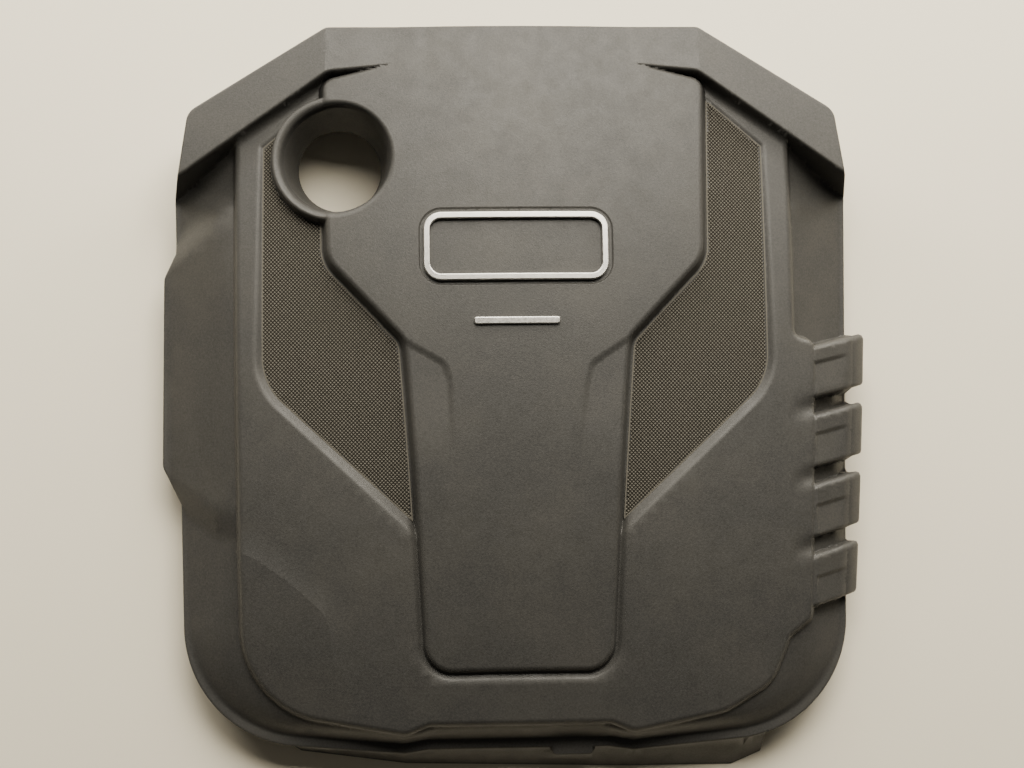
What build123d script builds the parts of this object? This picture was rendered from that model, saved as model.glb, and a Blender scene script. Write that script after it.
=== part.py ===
"""Moulded engine cover with rubber ball-stud mounts, an acoustic foam pad and blank bright trim.

The cover lies as it sits on the engine: show face up, +Y to the rear, its rim's foot at z = 0.
All sizes are in millimetres.
"""

import os
from math import asin, degrees, radians, sqrt, tan

from build123d import *

os.makedirs("parts", exist_ok=True)

# Overall size
cover_length = 508.0  # front apron to rear edge, along Y
cover_width = 486.0  # left bulge to fin tips, along X
cover_height = 90.0  # rim's foot to the top of the dome
wall = 2.8  # moulded wall
slope_share = 0.75  # share of the wall by which a sloped face is both inset and lowered
rear_y = cover_length / 2
front_y = -cover_length / 2
reach = cover_width / 2

# Dome of the show face
dome_radius = 1300.0
dome_peak_y = 64.0

# Levels below the dome
field_drop = 8.0  # lower field, at the dome's peak
field_tilt = 1.3  # degrees that the field rises towards the front
panel_drop = 10.8  # floor of the textured panels, at the dome's peak
panel_tilt = 0.55
flange_step = 5.0  # from the field down to the flange
moat_depth = 3.2  # groove round the tongue, below the field
collar_drop = -0.6  # lip of the oil filler funnel, just above the plateau

# Rim and skirt, right half from front to rear
rim_height = 30.0
rim_middle = (62.0, front_y + 17.5)
rim_nose = (78.0, front_y + 15.0)
rim_corner = (reach - 17.0, front_y + 28.0)
rim_side = (reach - 7.5, rear_y - 111.0)
brow_end = (reach - 15.5, rear_y - 101.0)
brow_shoulder = (reach - 21.5, rear_y - 56.0)
brow_top_half = 127.0
rim_radii = (6.0, 10.0, 85.0, 4.0, 4.0, 12.0, 8.0)
ledge = 3.0  # flat shelf inside the rim at the sides
front_ledge = 7.0  # and along the front

# Sloped flange, its outline at the height where it would end
flange_height = 70.0
flange_middle = (58.0, front_y + 43.0)
flange_nose = (72.0, front_y + 36.0)
flange_corner = (reach - 85.0, front_y + 56.0)
flange_side = (reach - 72.0, rear_y - 122.0)
flange_end = (reach - 76.0, rear_y - 108.0)
flange_shoulder = (reach - 83.0, rear_y - 64.0)
flange_top = (95.0, rear_y - 18.0)
flange_radii = (6.0, 10.0, 55.0, 4.0, 4.0, 10.0, 8.0)

# Field outline
field_middle = (61.0, front_y + 37.0)
field_nose = (76.5, front_y + 30.5)
field_corner = (reach - 58.0, front_y + 49.5)
field_side = (reach - 53.5, rear_y - 68.0)
field_top = (120.0, rear_y - 16.0)
field_left_radii = (8.0, 12.0, 62.0, 10.0, 10.0)
field_edge_radius = 3.0

# Right side of the field, with the pad behind the fins
field_knee = (reach - 103.0, front_y + 42.5)
field_bend = (reach - 71.0, front_y + 61.0)
pad_half = reach - 40.0
pad_rear_y = front_y + 291.0
pad_front = (reach - 43.5, front_y + 104.0)
pad_front_step = (15.6, 12.0)
pad_rear_step = (14.4, 4.0)
field_right_radii = (8.0, 12.0, 40.0, 30.0, 7.0, 7.0, 6.0, 7.0, 10.0, 10.0)

# Plateau: a wide head and a tapered tongue
tongue_end = (57.0, front_y + 78.0)
neck = (76.5, 37.6)
head_corner = (126.5, rear_y - 161.4)
head_top = (127.0, rear_y - 39.0)
brow_fade = (85.0, rear_y - 28.0)
plateau_radii = (14.0, 14.0, 25.0, 7.0, 12.0, 7.0)
plateau_draft = 18.0
plateau_sketch_height = 80.0  # where the outline above is the true one
plateau_foot_height = 56.0
plateau_edge_radius = 3.5
plateau_over = 1.0  # the drafted block runs past the dome's peak
moat_width = 5.0
moat_rear_y = front_y + 188.0
moat_end_radius = 1.0

# Brow over the rear corners
brow_root = (125.7, rear_y - 32.0)
brow_rise_half = 80.0  # where the brow leaves the dome
brow_slope = 0.17  # fall of the brow outside its flat stretch
brow_radii = (8.0, 14.0, 1.0, 1.0)

# Textured panels
panel_half = reach - 72.5
panel_low_y = front_y + 265.0
panel_radii = (0.0, 42.0, 1.0, 1.0, 1.0)
panel_tip = (62.0, front_y + 165.0)
panel_top_y = rear_y - 81.0
panel_top_slope = 0.865
panel_root_half = 110.0

# Oil filler funnel
funnel_x = -120.3
funnel_y = rear_y - 91.4
funnel_mouth_radius = 38.0
funnel_mouth_height = 82.0
funnel_throat_radius = 28.7
funnel_foot_height = 36.0
collar_width = 5.3
funnel_stock = 1.0  # left inside the tube, and bored out with the mouth

# Fins at the right side
fin_count = 4
fin_pitch = 47.0
fin_width = 35.5
fin_slant = 14.4
fin_first_y = pad_rear_y - 2.0  # rear edge of the first fin, where it leaves the pad
fin_step = 0.5  # the fins start just below the pad
fin_fall = 12.0  # from the pad to the fin's shoulder
fin_nose = 10.0  # chamfer of the shoulder
fin_taper = 0.045  # the fin tips close in towards the front
fin_root = reach - 51.0

# Bulge at the left side
bulge_rear_y = rear_y - 165.0
bulge_front_y = front_y + 212.0
bulge_ramp = 27.0
bulge_root = reach - 48.0

# Front apron and latch tab
apron_root = (
    (40.0 - reach, front_y + 49.5),
    (92.0 - reach, front_y + 23.5),
    (-78.0, front_y + 17.0),
    (78.0, front_y + 17.0),
    (reach - 93.0, front_y + 23.5),
    (reach - 72.0, front_y + 28.5),
)
apron_reach = (2.5, 9.0, 12.5, 17.0, 23.5, 20.0)
tab_x = 36.5
tab_width = 28.0
tab_reach = 5.0
tab_height = 5.0

# Rubber mounts and their brackets
mount_gap = 23.5  # from the plateau's head to the middle of a rear mount
mount_places = {
    "front_left": (103.0 - reach, front_y + 144.0),
    "front_right": (reach - 103.0, front_y + 144.0),
    "rear_left": (-head_corner[0] - mount_gap, rear_y - 192.0),
    "rear_right": (head_corner[0] + mount_gap, rear_y - 142.0),
}
bracket_foot_height = 24.0
bracket_plate = 3.0
bracket_wall = 2.4
bracket_width = 36.0
bracket_depth = 34.0
mount_neck_radius = 8.0
mount_fit = 0.15  # radial room between the rubber neck and its slot
mount_body_radius = 12.0
mount_body_length = 13.0
mount_flange = 3.5
mount_flange_radius = 11.0
mount_chamfer = 1.5
socket_radius = 5.0
socket_depth = 9.5
socket_seat = 0.7  # depth of the seat that snaps over the ball, at the socket's end
socket_seat_height = 3.0
socket_lead = 1.2

# Underside ribs
rib_thickness = 2.0
rib_drop = 20.0  # level of the ribs' lower edges below the dome
rib_inner_half = 84.0
rib_outer_half = reach - 62.0
rib_rows = (front_y + 104.0, front_y + 194.0, front_y + 274.0)
rib_line_half = 112.0
rib_line_front_y = front_y + 64.0

# Foam pad
foam_thickness = 12.0
foam_margin = 6.0
foam_glue = 0.3
foam_funnel_room = 3.0

# Blank trim: a frame and a bar
frame_length = 123.0
frame_height = 46.0
frame_band = 4.5
frame_corner_radius = 12.0
frame_y = rear_y - 154.0
frame_thickness = 3.6
recess_depth = 1.4
recess_margin = 3.0
bar_length = 57.0
bar_height = 5.0
bar_y = rear_y - 204.0
bar_thickness = 2.2
bar_corner_radius = 2.0
trim_seat = 0.05  # room under the trim
pin_radius = 1.5
pin_room = 0.2
stake_radius = 3.2
stake_height = 1.4
stake_room = 0.3
stake_foam_room = 1.5
bar_pin_half = 20.0
trim_edge_radius = 0.8

# Places that follow from the sizes above
dome_axis = Axis((0, dome_peak_y, cover_height - dome_radius), (1, 0, 0))
over = 30.0  # how far a cutter runs past what it cuts


def mirrored(half):
    """Closed outline from its right half, listed front to rear."""
    return list(half) + [(-x, y) for x, y in reversed(half)]


def mirrored_radii(half):
    """Corner radii for a mirrored outline."""
    return list(half) + list(reversed(half))


def outline(height, points, radii, grow=0.0):
    """Rounded polygon at a height, grown or shrunk evenly."""
    with BuildSketch(Plane.XY.offset(height)) as sketch:
        with BuildLine():
            FilletPolyline(*points, radius=radii, close=True)
        make_face()
        if grow:
            offset(amount=grow, kind=Kind.INTERSECTION)
    return sketch.sketch


def dome_height(x, y, drop, tilt=0.0):
    """Height of a domed level above a place in plan."""
    rise = sqrt((dome_radius - drop) ** 2 - x**2 - (y - dome_peak_y) ** 2)
    return cover_height - dome_radius + rise - tan(radians(tilt)) * (y - dome_peak_y)


def dome_fall(x):
    """How far the dome has fallen at a distance from its middle line."""
    return dome_radius - sqrt(dome_radius**2 - x**2)


rear_turn = degrees((rear_y + over - dome_peak_y) / dome_radius)
front_turn = degrees((dome_peak_y - front_y + over) / dome_radius)
section_plane = Plane(dome_axis.position, x_dir=(1, 0, 0), z_dir=(0, -1, 0)).rotated((-rear_turn, 0, 0))
section_low = dome_radius - cover_height - 2 * over


def dome_block(drop, tilt=0.0):
    """Everything under the dome lowered by a drop, tilted about the dome's peak."""
    radius = dome_radius - drop
    half = reach + over
    half_angle = degrees(asin(half / radius))
    edge = sqrt(radius**2 - half**2)
    with BuildPart() as block:
        with BuildSketch(section_plane):
            with BuildLine():
                CenterArc((0, 0), radius, 90 - half_angle, 2 * half_angle)
                Polyline((half, edge), (half, section_low), (-half, section_low), (-half, edge))
            make_face()
        revolve(axis=dome_axis, revolution_arc=rear_turn + front_turn)
    pivot = Axis((0, dome_peak_y, cover_height), (1, 0, 0))
    return block.part.rotate(pivot, -tilt)


def swept_block(section):
    """Solid swept along the dome under a section across it, given as (x, drop) points."""
    top = [(x, dome_radius - drop) for x, drop in section]
    with BuildPart() as block:
        with BuildSketch(section_plane):
            with BuildLine():
                Polyline(*top, (top[-1][0], section_low), (top[0][0], section_low), top[0])
            make_face()
        revolve(axis=dome_axis, revolution_arc=rear_turn + front_turn)
    return block.part


def rim_points(inset_side=0.0, inset_front=0.0):
    """Right half of the rim outline, with its shelf taken off."""
    return (
        (rim_middle[0], rim_middle[1] + inset_front),
        (rim_nose[0], rim_nose[1] + inset_front),
        (rim_corner[0] - inset_side, rim_corner[1] + inset_front),
        (rim_side[0] - inset_side, rim_side[1]),
        (brow_end[0] - inset_side, brow_end[1]),
        (brow_shoulder[0] - inset_side, brow_shoulder[1]),
        (brow_top_half, rear_y - inset_side),
    )


def footprint_block(inset):
    """Upright prism over the whole rim outline."""
    start = -over if inset else 0.0
    with BuildPart() as block:
        sketch = outline(start, mirrored(rim_points()), mirrored_radii(rim_radii), -inset)
        extrude(sketch, amount=cover_height + over - start)
    return block.part


def skirt_block(inset):
    """Upright skirt below the rim."""
    start = -over if inset else 0.0
    with BuildPart() as block:
        sketch = outline(start, mirrored(rim_points()), mirrored_radii(rim_radii), -inset)
        extrude(sketch, amount=rim_height - inset - start)
    return block.part


def flange_block(inset):
    """Sloped flange from the rim's shelf up to the field."""
    shift = slope_share * inset
    upper_half = (
        flange_middle,
        flange_nose,
        flange_corner,
        flange_side,
        flange_end,
        flange_shoulder,
        flange_top,
    )
    lower = mirrored(rim_points(ledge, front_ledge))
    with BuildPart() as block:
        foot = outline(rim_height - inset, lower, mirrored_radii(rim_radii), -shift)
        head = outline(flange_height - shift, mirrored(upper_half), mirrored_radii(flange_radii), -shift)
        loft([foot, head], ruled=True)
        add(dome_block(field_drop + flange_step + inset, field_tilt), mode=Mode.INTERSECT)
    return block.part


def panel_points(side):
    """Outline of one textured panel; its inner side runs on under the plateau."""
    top_y = panel_top_y + panel_top_slope * (panel_half - panel_root_half)
    return [
        (side * panel_tip[0], panel_tip[1]),
        (side * panel_half, panel_low_y),
        (side * panel_half, panel_top_y),
        (side * panel_root_half, top_y),
        (side * panel_tip[0], panel_low_y),
    ]


def panel_cutter(side, grow):
    """Space above one panel's floor."""
    with BuildPart() as cutter:
        sketch = outline(rim_height, panel_points(side), panel_radii, grow)
        extrude(sketch, amount=cover_height)
        add(dome_block(panel_drop + grow, panel_tilt), mode=Mode.SUBTRACT)
    return cutter.part


def tongue_half(y):
    """Half width of the tongue at a place along it."""
    share = (y - tongue_end[1]) / (neck[1] - tongue_end[1])
    return tongue_end[0] + share * (neck[0] - tongue_end[0])


def moat_cutter(grow):
    """Groove that sets the tongue off from the field."""
    half = (
        (tongue_end[0] + moat_width, tongue_end[1] - moat_width),
        (tongue_half(moat_rear_y) + moat_width, moat_rear_y),
    )
    radius = plateau_radii[0] + moat_width
    with BuildPart() as cutter:
        sketch = outline(rim_height, mirrored(half), (radius, moat_end_radius, moat_end_radius, radius), grow)
        extrude(sketch, amount=cover_height)
        add(dome_block(field_drop + moat_depth + grow, field_tilt), mode=Mode.SUBTRACT)
    return cutter.part


def field_points():
    """Field outline, with the pad behind the fins on its right side."""
    right = [
        field_middle,
        field_nose,
        field_knee,
        field_bend,
        (pad_front[0] - pad_front_step[0], pad_front[1] - pad_front_step[1]),
        pad_front,
        (pad_half, pad_rear_y),
        (pad_half - pad_rear_step[0], pad_rear_y + pad_rear_step[1]),
        field_side,
        field_top,
    ]
    left = [field_middle, field_nose, field_corner, field_side, field_top]
    points = right + [(-x, y) for x, y in reversed(left)]
    return points, list(field_right_radii) + list(reversed(field_left_radii))


def field_block(inset):
    """Lower field with its panels and the groove round the tongue."""
    start = -over if inset else 0.0
    points, radii = field_points()
    with BuildPart() as block:
        extrude(outline(start, points, radii, -inset), amount=cover_height - start)
        add(dome_block(field_drop + inset, field_tilt), mode=Mode.INTERSECT)
        if not inset:
            top = block.faces().filter_by(GeomType.SPHERE).sort_by(SortBy.AREA)[-1]
            fillet(top.edges(), radius=field_edge_radius)
        add(panel_cutter(-1, inset), mode=Mode.SUBTRACT)
        add(panel_cutter(1, inset), mode=Mode.SUBTRACT)
        add(moat_cutter(inset), mode=Mode.SUBTRACT)
    return block.part


def plateau_block(inset):
    """Raised plateau with drafted walls and a rounded edge."""
    rear_end = (brow_fade[0], rear_y + over / 2)
    half = (tongue_end, neck, head_corner, head_top, brow_fade, rear_end)
    spread = (plateau_sketch_height - plateau_foot_height) * tan(radians(plateau_draft))
    points = mirrored(half)
    radii = mirrored_radii(plateau_radii)
    with BuildPart() as block:
        sketch = outline(plateau_foot_height, points, radii, spread - inset)
        extrude(sketch, amount=cover_height + plateau_over - plateau_foot_height, taper=plateau_draft)
        add(dome_block(inset), mode=Mode.INTERSECT)
        if not inset:
            top = block.faces().filter_by(GeomType.SPHERE).sort_by(SortBy.AREA)[-1]
            fillet(top.edges(), radius=plateau_edge_radius)
        add(footprint_block(inset), mode=Mode.INTERSECT)
    return block.part


def brow_block(inset):
    """Brow along the rear: flat in the middle, then falling to the shoulders."""
    start = -over if inset else 0.0
    level = dome_fall(brow_rise_half) + inset
    far = reach + over
    low = level + brow_slope * (far - brow_top_half)
    section = [(-far, low), (-brow_top_half, level), (brow_top_half, level), (far, low)]
    run = (brow_end[1] - brow_root[1]) / (brow_end[0] - brow_root[0])
    half = (
        (brow_fade[0], brow_fade[1] + inset),
        (brow_root[0], brow_root[1] + inset),
        (far, brow_root[1] + run * (far - brow_root[0]) + inset),
        (far, rear_y + over),
    )
    with BuildPart() as block:
        extrude(outline(start, mirrored(half), mirrored_radii(brow_radii)), amount=cover_height - start)
        add(swept_block(section), mode=Mode.INTERSECT)
        add(footprint_block(inset), mode=Mode.INTERSECT)
    return block.part


def funnel_radius(height):
    """Inner radius of the funnel's cone at a height."""
    rise = (height - funnel_foot_height) / (funnel_mouth_height - funnel_foot_height)
    return funnel_throat_radius + rise * (funnel_mouth_radius - funnel_throat_radius)


def funnel_block(profile):
    """Solid of revolution about the funnel's axis, its seam away from the plateau."""
    plane = Plane((funnel_x, funnel_y, 0), x_dir=(-1, 0, 0), z_dir=(0, 1, 0))
    with BuildPart() as block:
        with BuildSketch(plane):
            with BuildLine():
                Polyline(*profile, close=True)
            make_face()
        revolve(axis=Axis(plane.origin, (0, 0, 1)))
    return block.part


def slanted_fin(index, inset):
    """Plan of one fin, a parallelogram."""
    slant = tan(radians(fin_slant))
    rear = fin_first_y - index * fin_pitch - inset
    front = rear - fin_width + 2 * inset
    far = reach + over
    near = fin_root - (over if inset else 0.0)
    return [
        (near, front + slant * (near - pad_half)),
        (far, front + slant * (far - pad_half)),
        (far, rear + slant * (far - pad_half)),
        (near, rear + slant * (near - pad_half)),
    ]


def fin_blocks(inset):
    """The fins: parallelograms cut from one long bar with the fins' cross-section."""
    start = -over if inset else 0.0
    tip_y = fin_first_y + tan(radians(fin_slant)) * (reach - pad_half)
    near = fin_root - (over if inset else 0.0)
    sections = []
    for y in (tip_y + over, tip_y - fin_count * fin_pitch - over):
        top = dome_height(pad_half, y, field_drop + fin_step, field_tilt) - inset
        tip = reach - fin_taper * (tip_y - y) - inset
        shoulder = top - fin_fall
        with BuildSketch(Plane.XZ.offset(-y)) as section:
            with BuildLine():
                Polyline(
                    (near, start),
                    (tip, start),
                    (tip, shoulder - fin_nose),
                    (tip - fin_nose, shoulder),
                    (pad_half, top),
                    (near, top),
                    close=True,
                )
            make_face()
        sections.append(section.sketch)
    with BuildPart() as fins:
        for index in range(fin_count):
            with BuildSketch(Plane.XY.offset(start)):
                with BuildLine():
                    Polyline(*slanted_fin(index, inset), close=True)
                make_face()
        extrude(amount=cover_height - start)
        loft(sections, ruled=True, mode=Mode.INTERSECT)
    return fins.part


def bulge_block(inset):
    """Swollen stretch of the left flange and the skirt under it."""
    start = -over if inset else 0.0
    shift = slope_share * inset
    rear = bulge_rear_y - inset
    front = bulge_front_y + inset
    side = rim_side[0] - 2 * ledge - inset
    lean = rim_side[0] - ledge - flange_side[0]

    def plan(edge, back):
        points = (
            (-bulge_root + back, rear + bulge_ramp),
            (-side + back, rear + bulge_ramp),
            (-edge + back, rear),
            (-edge + back, front),
            (-side + back, front - bulge_ramp),
            (-bulge_root + back, front - bulge_ramp),
        )
        return points

    with BuildPart() as block:
        with BuildSketch(Plane.XY.offset(start)):
            with BuildLine():
                Polyline(*plan(reach - inset, 0.0), close=True)
            make_face()
        extrude(amount=rim_height - inset - start)
        with BuildSketch(Plane.XY.offset(rim_height - inset)) as foot:
            with BuildLine():
                Polyline(*plan(reach - ledge - shift, 0.0), close=True)
            make_face()
        with BuildSketch(Plane.XY.offset(flange_height - shift)) as head:
            with BuildLine():
                Polyline(*plan(reach - ledge - shift, lean), close=True)
            make_face()
        loft([foot.sketch, head.sketch], ruled=True)
        add(dome_block(field_drop + flange_step + inset, field_tilt), mode=Mode.INTERSECT)
    return block.part


def apron_block():
    """Flared lip under the front rim."""
    foot = [(x, y - out) for (x, y), out in zip(apron_root, apron_reach)]
    with BuildPart() as block:
        for height, line in ((0.0, foot), (rim_height - wall / 2, apron_root)):
            with BuildSketch(Plane.XY.offset(height)):
                with BuildLine():
                    Polyline(*line, *[(x, y + wall) for x, y in reversed(line)], close=True)
                make_face()
        loft(ruled=True)
        with BuildSketch(Plane.XY.offset(rim_height - tab_height)):
            with Locations((tab_x, rim_middle[1])):
                RectangleRounded(tab_width, 2 * tab_reach, tab_reach / 2)
        extrude(amount=tab_height)
    return block.part


funnel_end = cover_height + over
funnel_end_radius = funnel_radius(funnel_end)
collar_radius = funnel_mouth_radius + collar_width

with BuildPart() as collar:
    low, high = funnel_foot_height, funnel_end
    add(funnel_block([(0, low), (collar_radius, low), (collar_radius, high), (0, high)]))
    add(dome_block(collar_drop), mode=Mode.INTERSECT)

shell_blocks = (skirt_block, flange_block, field_block, plateau_block, brow_block, bulge_block, fin_blocks)

with BuildPart() as outer:
    for block in shell_blocks:
        add(block(0))
    add(collar.part)
    add(apron_block())

with BuildPart() as mid_wall:
    for block in shell_blocks:
        add(block(wall / 2))

with BuildPart() as funnel_tube:
    add(
        funnel_block(
            [
                (funnel_throat_radius - funnel_stock, funnel_foot_height),
                (funnel_throat_radius + wall, funnel_foot_height),
                (funnel_end_radius + wall, funnel_end),
                (funnel_end_radius - funnel_stock, funnel_end),
            ]
        )
    )
    add(dome_block(collar_drop + wall / 2), mode=Mode.INTERSECT)

with BuildPart() as funnel_core:
    add(
        funnel_block(
            [
                (0, 0),
                (funnel_throat_radius, 0),
                (funnel_throat_radius, funnel_foot_height),
                (funnel_end_radius, funnel_end),
                (0, funnel_end),
            ]
        )
    )

with BuildPart() as ribs:
    with BuildSketch(Plane.XY.offset(rim_height)):
        for side in (-1, 1):
            for y in rib_rows:
                with Locations((side * (rib_inner_half + rib_outer_half) / 2, y)):
                    Rectangle(rib_outer_half - rib_inner_half, rib_thickness)
            with Locations((side * rib_line_half, (rib_line_front_y + rib_rows[-1]) / 2)):
                Rectangle(rib_thickness, rib_rows[-1] - rib_line_front_y)
    extrude(amount=cover_height)
    add(mid_wall.part, mode=Mode.INTERSECT)
    add(dome_block(rib_drop), mode=Mode.SUBTRACT)

with BuildPart() as brackets:
    for x, y in mount_places.values():
        with BuildSketch(Plane.XY.offset(bracket_foot_height)):
            with Locations((x, y)):
                Rectangle(bracket_width, bracket_depth)
    extrude(amount=cover_height)
    for x, y in mount_places.values():
        inward = -1 if x > 0 else 1
        with BuildSketch(Plane.XY.offset(bracket_foot_height + bracket_plate)):
            with Locations((x + inward * bracket_wall, y)):
                Rectangle(bracket_width, bracket_depth - 2 * bracket_wall)
    extrude(amount=cover_height, mode=Mode.SUBTRACT)
    for x, y in mount_places.values():
        inward = -1 if x > 0 else 1
        with BuildSketch(Plane.XY.offset(bracket_foot_height)):
            with Locations((x, y)):
                Circle(mount_neck_radius + mount_fit)
            with Locations((x + inward * bracket_width / 2, y)):
                Rectangle(bracket_width, 2 * (mount_neck_radius + mount_fit))
    extrude(amount=bracket_plate, mode=Mode.SUBTRACT)
    add(mid_wall.part, mode=Mode.INTERSECT)

with BuildPart() as trim_recess:
    with BuildSketch(Plane.XY.offset(rim_height)):
        with Locations((0, frame_y)):
            RectangleRounded(
                frame_length + 2 * recess_margin,
                frame_height + 2 * recess_margin,
                frame_corner_radius + recess_margin,
            )
    extrude(amount=cover_height)
    add(dome_block(recess_depth), mode=Mode.SUBTRACT)

frame_pin_half = (frame_length - frame_band) / 2
frame_pins = [(-frame_pin_half, frame_y), (frame_pin_half, frame_y)]
bar_pins = [(-bar_pin_half, bar_y), (bar_pin_half, bar_y)]

with BuildPart() as cover_shell:
    add(outer.part)
    for block in shell_blocks:
        add(block(wall), mode=Mode.SUBTRACT)
    add(funnel_tube.part)
    add(ribs.part)
    add(brackets.part)
    add(funnel_core.part, mode=Mode.SUBTRACT)
    add(trim_recess.part, mode=Mode.SUBTRACT)
    with BuildSketch(Plane.XY.offset(rim_height)):
        with Locations(*frame_pins, *bar_pins):
            Circle(pin_radius + pin_room)
    extrude(amount=cover_height, mode=Mode.SUBTRACT)

cover_shell.part.label = "cover_shell"
export_step(cover_shell.part, "parts/cover_shell.step")


def mount_grommet(x, y):
    """Rubber mount: a collared button with a blind socket for a ball stud."""
    foot = bracket_foot_height - mount_body_length
    plate_top = bracket_foot_height + bracket_plate
    head = plate_top + mount_flange
    socket_end = foot + socket_depth
    seat = socket_end - socket_seat_height
    with BuildPart() as grommet:
        with BuildSketch(Plane((x, y, 0), x_dir=(1, 0, 0), z_dir=(0, -1, 0))):
            with BuildLine():
                Polyline(
                    (0, socket_end),
                    (socket_radius, socket_end),
                    (socket_radius + socket_seat, socket_end - socket_seat),
                    (socket_radius + socket_seat, seat + socket_seat),
                    (socket_radius, seat),
                    (socket_radius, foot + socket_lead),
                    (socket_radius + socket_lead, foot),
                    (mount_body_radius - mount_chamfer, foot),
                    (mount_body_radius, foot + mount_chamfer),
                    (mount_body_radius, bracket_foot_height - mount_chamfer),
                    (mount_body_radius - mount_chamfer, bracket_foot_height),
                    (mount_neck_radius, bracket_foot_height),
                    (mount_neck_radius, plate_top),
                    (mount_flange_radius, plate_top),
                    (mount_flange_radius, head - mount_chamfer),
                    (mount_flange_radius - mount_chamfer, head),
                    (0, head),
                    close=True,
                )
            make_face()
        revolve(axis=Axis((x, y, 0), (0, 0, 1)))
    return grommet.part


for place, (x, y) in mount_places.items():
    grommet = mount_grommet(x, y)
    grommet.label = f"mount_{place}"
    export_step(grommet, f"parts/mount_{place}.step")

foam_outline = mirrored((tongue_end, neck, head_corner, head_top))
foam_radii = mirrored_radii(plateau_radii[:4])
foam_notch = collar_radius + wall + foam_funnel_room
foam_top = wall + foam_glue

with BuildPart() as acoustic_foam:
    extrude(outline(rim_height, foam_outline, foam_radii, -wall - foam_margin), amount=cover_height)
    add(dome_block(foam_top), mode=Mode.INTERSECT)
    add(dome_block(foam_top + foam_thickness), mode=Mode.SUBTRACT)
    with BuildSketch(Plane.XY.offset(rim_height)):
        with Locations((funnel_x, funnel_y)):
            Circle(foam_notch)
        with Locations((funnel_x + foam_notch, funnel_y)):
            Rectangle(reach, reach, align=(Align.MAX, Align.MIN))
        with Locations(*frame_pins, *bar_pins):
            Circle(stake_radius + stake_foam_room)
    extrude(amount=cover_height, mode=Mode.SUBTRACT)

acoustic_foam.part.label = "acoustic_foam"
export_step(acoustic_foam.part, "parts/acoustic_foam.step")


def staked_pin(x, y, top):
    """Pin of a trim piece, with its staked head under the wall."""
    head = dome_height(x, y, wall) - stake_room
    with BuildPart() as pin:
        with BuildSketch(Plane.XY.offset(head - stake_height)):
            with Locations((x, y)):
                Circle(stake_radius)
        extrude(amount=stake_height)
        with BuildSketch(Plane.XY.offset(head)):
            with Locations((x, y)):
                Circle(pin_radius)
        extrude(amount=top - head)
    return pin.part


with BuildPart() as trim_frame:
    with BuildSketch(Plane.XY.offset(rim_height)):
        with Locations((0, frame_y)):
            RectangleRounded(frame_length, frame_height, frame_corner_radius)
            RectangleRounded(
                frame_length - 2 * frame_band,
                frame_height - 2 * frame_band,
                frame_corner_radius - frame_band,
                mode=Mode.SUBTRACT,
            )
    extrude(amount=cover_height)
    add(dome_block(recess_depth - frame_thickness), mode=Mode.INTERSECT)
    add(dome_block(recess_depth - trim_seat), mode=Mode.SUBTRACT)
    fillet(trim_frame.faces().sort_by(Axis.Z)[-1].edges(), radius=trim_edge_radius)
    for x, y in frame_pins:
        add(staked_pin(x, y, dome_height(x, y, recess_depth - frame_thickness / 2)))

trim_frame.part.label = "trim_frame"
export_step(trim_frame.part, "parts/trim_frame.step")

with BuildPart() as trim_bar:
    with BuildSketch(Plane.XY.offset(rim_height)):
        with Locations((0, bar_y)):
            RectangleRounded(bar_length, bar_height, bar_corner_radius)
    extrude(amount=cover_height)
    add(dome_block(-bar_thickness), mode=Mode.INTERSECT)
    add(dome_block(-trim_seat), mode=Mode.SUBTRACT)
    fillet(trim_bar.faces().sort_by(Axis.Z)[-1].edges(), radius=trim_edge_radius)
    for x, y in bar_pins:
        add(staked_pin(x, y, dome_height(x, y, -bar_thickness / 2)))

trim_bar.part.label = "trim_bar"
export_step(trim_bar.part, "parts/trim_bar.step")
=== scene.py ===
"""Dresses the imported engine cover: a moulded skin, textured panels, foam, rubber, trim and a studio.

Lengths are in millimetres in the part's own frame. MM turns them into Blender's metres.
"""

import logging
from collections import Counter
from dataclasses import dataclass
from enum import Enum
from math import acos, cos, pi, radians, sin, tan
from typing import Callable, Iterable, Sequence

import bpy
import numpy as np
from mathutils import Matrix, Vector
from mathutils.bvhtree import BVHTree
from mathutils.geometry import delaunay_2d_cdt


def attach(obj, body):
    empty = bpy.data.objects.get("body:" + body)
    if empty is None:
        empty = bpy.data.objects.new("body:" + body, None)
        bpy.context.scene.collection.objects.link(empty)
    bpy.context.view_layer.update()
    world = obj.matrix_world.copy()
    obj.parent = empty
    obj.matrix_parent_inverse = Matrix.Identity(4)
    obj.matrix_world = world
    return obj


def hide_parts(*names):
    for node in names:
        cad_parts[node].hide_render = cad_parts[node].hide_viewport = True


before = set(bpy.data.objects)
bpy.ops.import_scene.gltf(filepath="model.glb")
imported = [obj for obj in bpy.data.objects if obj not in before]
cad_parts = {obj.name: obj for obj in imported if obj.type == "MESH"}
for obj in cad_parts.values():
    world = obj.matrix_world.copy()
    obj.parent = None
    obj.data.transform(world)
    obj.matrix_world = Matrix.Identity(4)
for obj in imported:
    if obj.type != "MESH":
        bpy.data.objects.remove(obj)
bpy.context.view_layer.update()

Point = tuple[float, float]
Colour = tuple[float, float, float]
Socket = bpy.types.NodeSocket

LOG = logging.getLogger("engine_cover")
MM = 0.001
BODY = "root"
# Mesh layer whose crest share paints shade into the diamonds' gaps and a highlight onto their crests
PAINTED_SHADING_LAYER = "crest"

# Overall size
REAR_Y = 254.0
FRONT_Y = -254.0
REACH = 243.0
TOP = 90.0
DOME_RADIUS = 1300.0
DOME_PEAK_Y = 64.0
OVERRUN = 30.0

# Levels below the dome, and tilts in degrees
FIELD_DROP = 8.0
FIELD_TILT = 1.3
PANEL_DROP = 10.8
PANEL_TILT = 0.55
FLANGE_STEP = 5.0
LIP_DROP = 1.6

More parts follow.
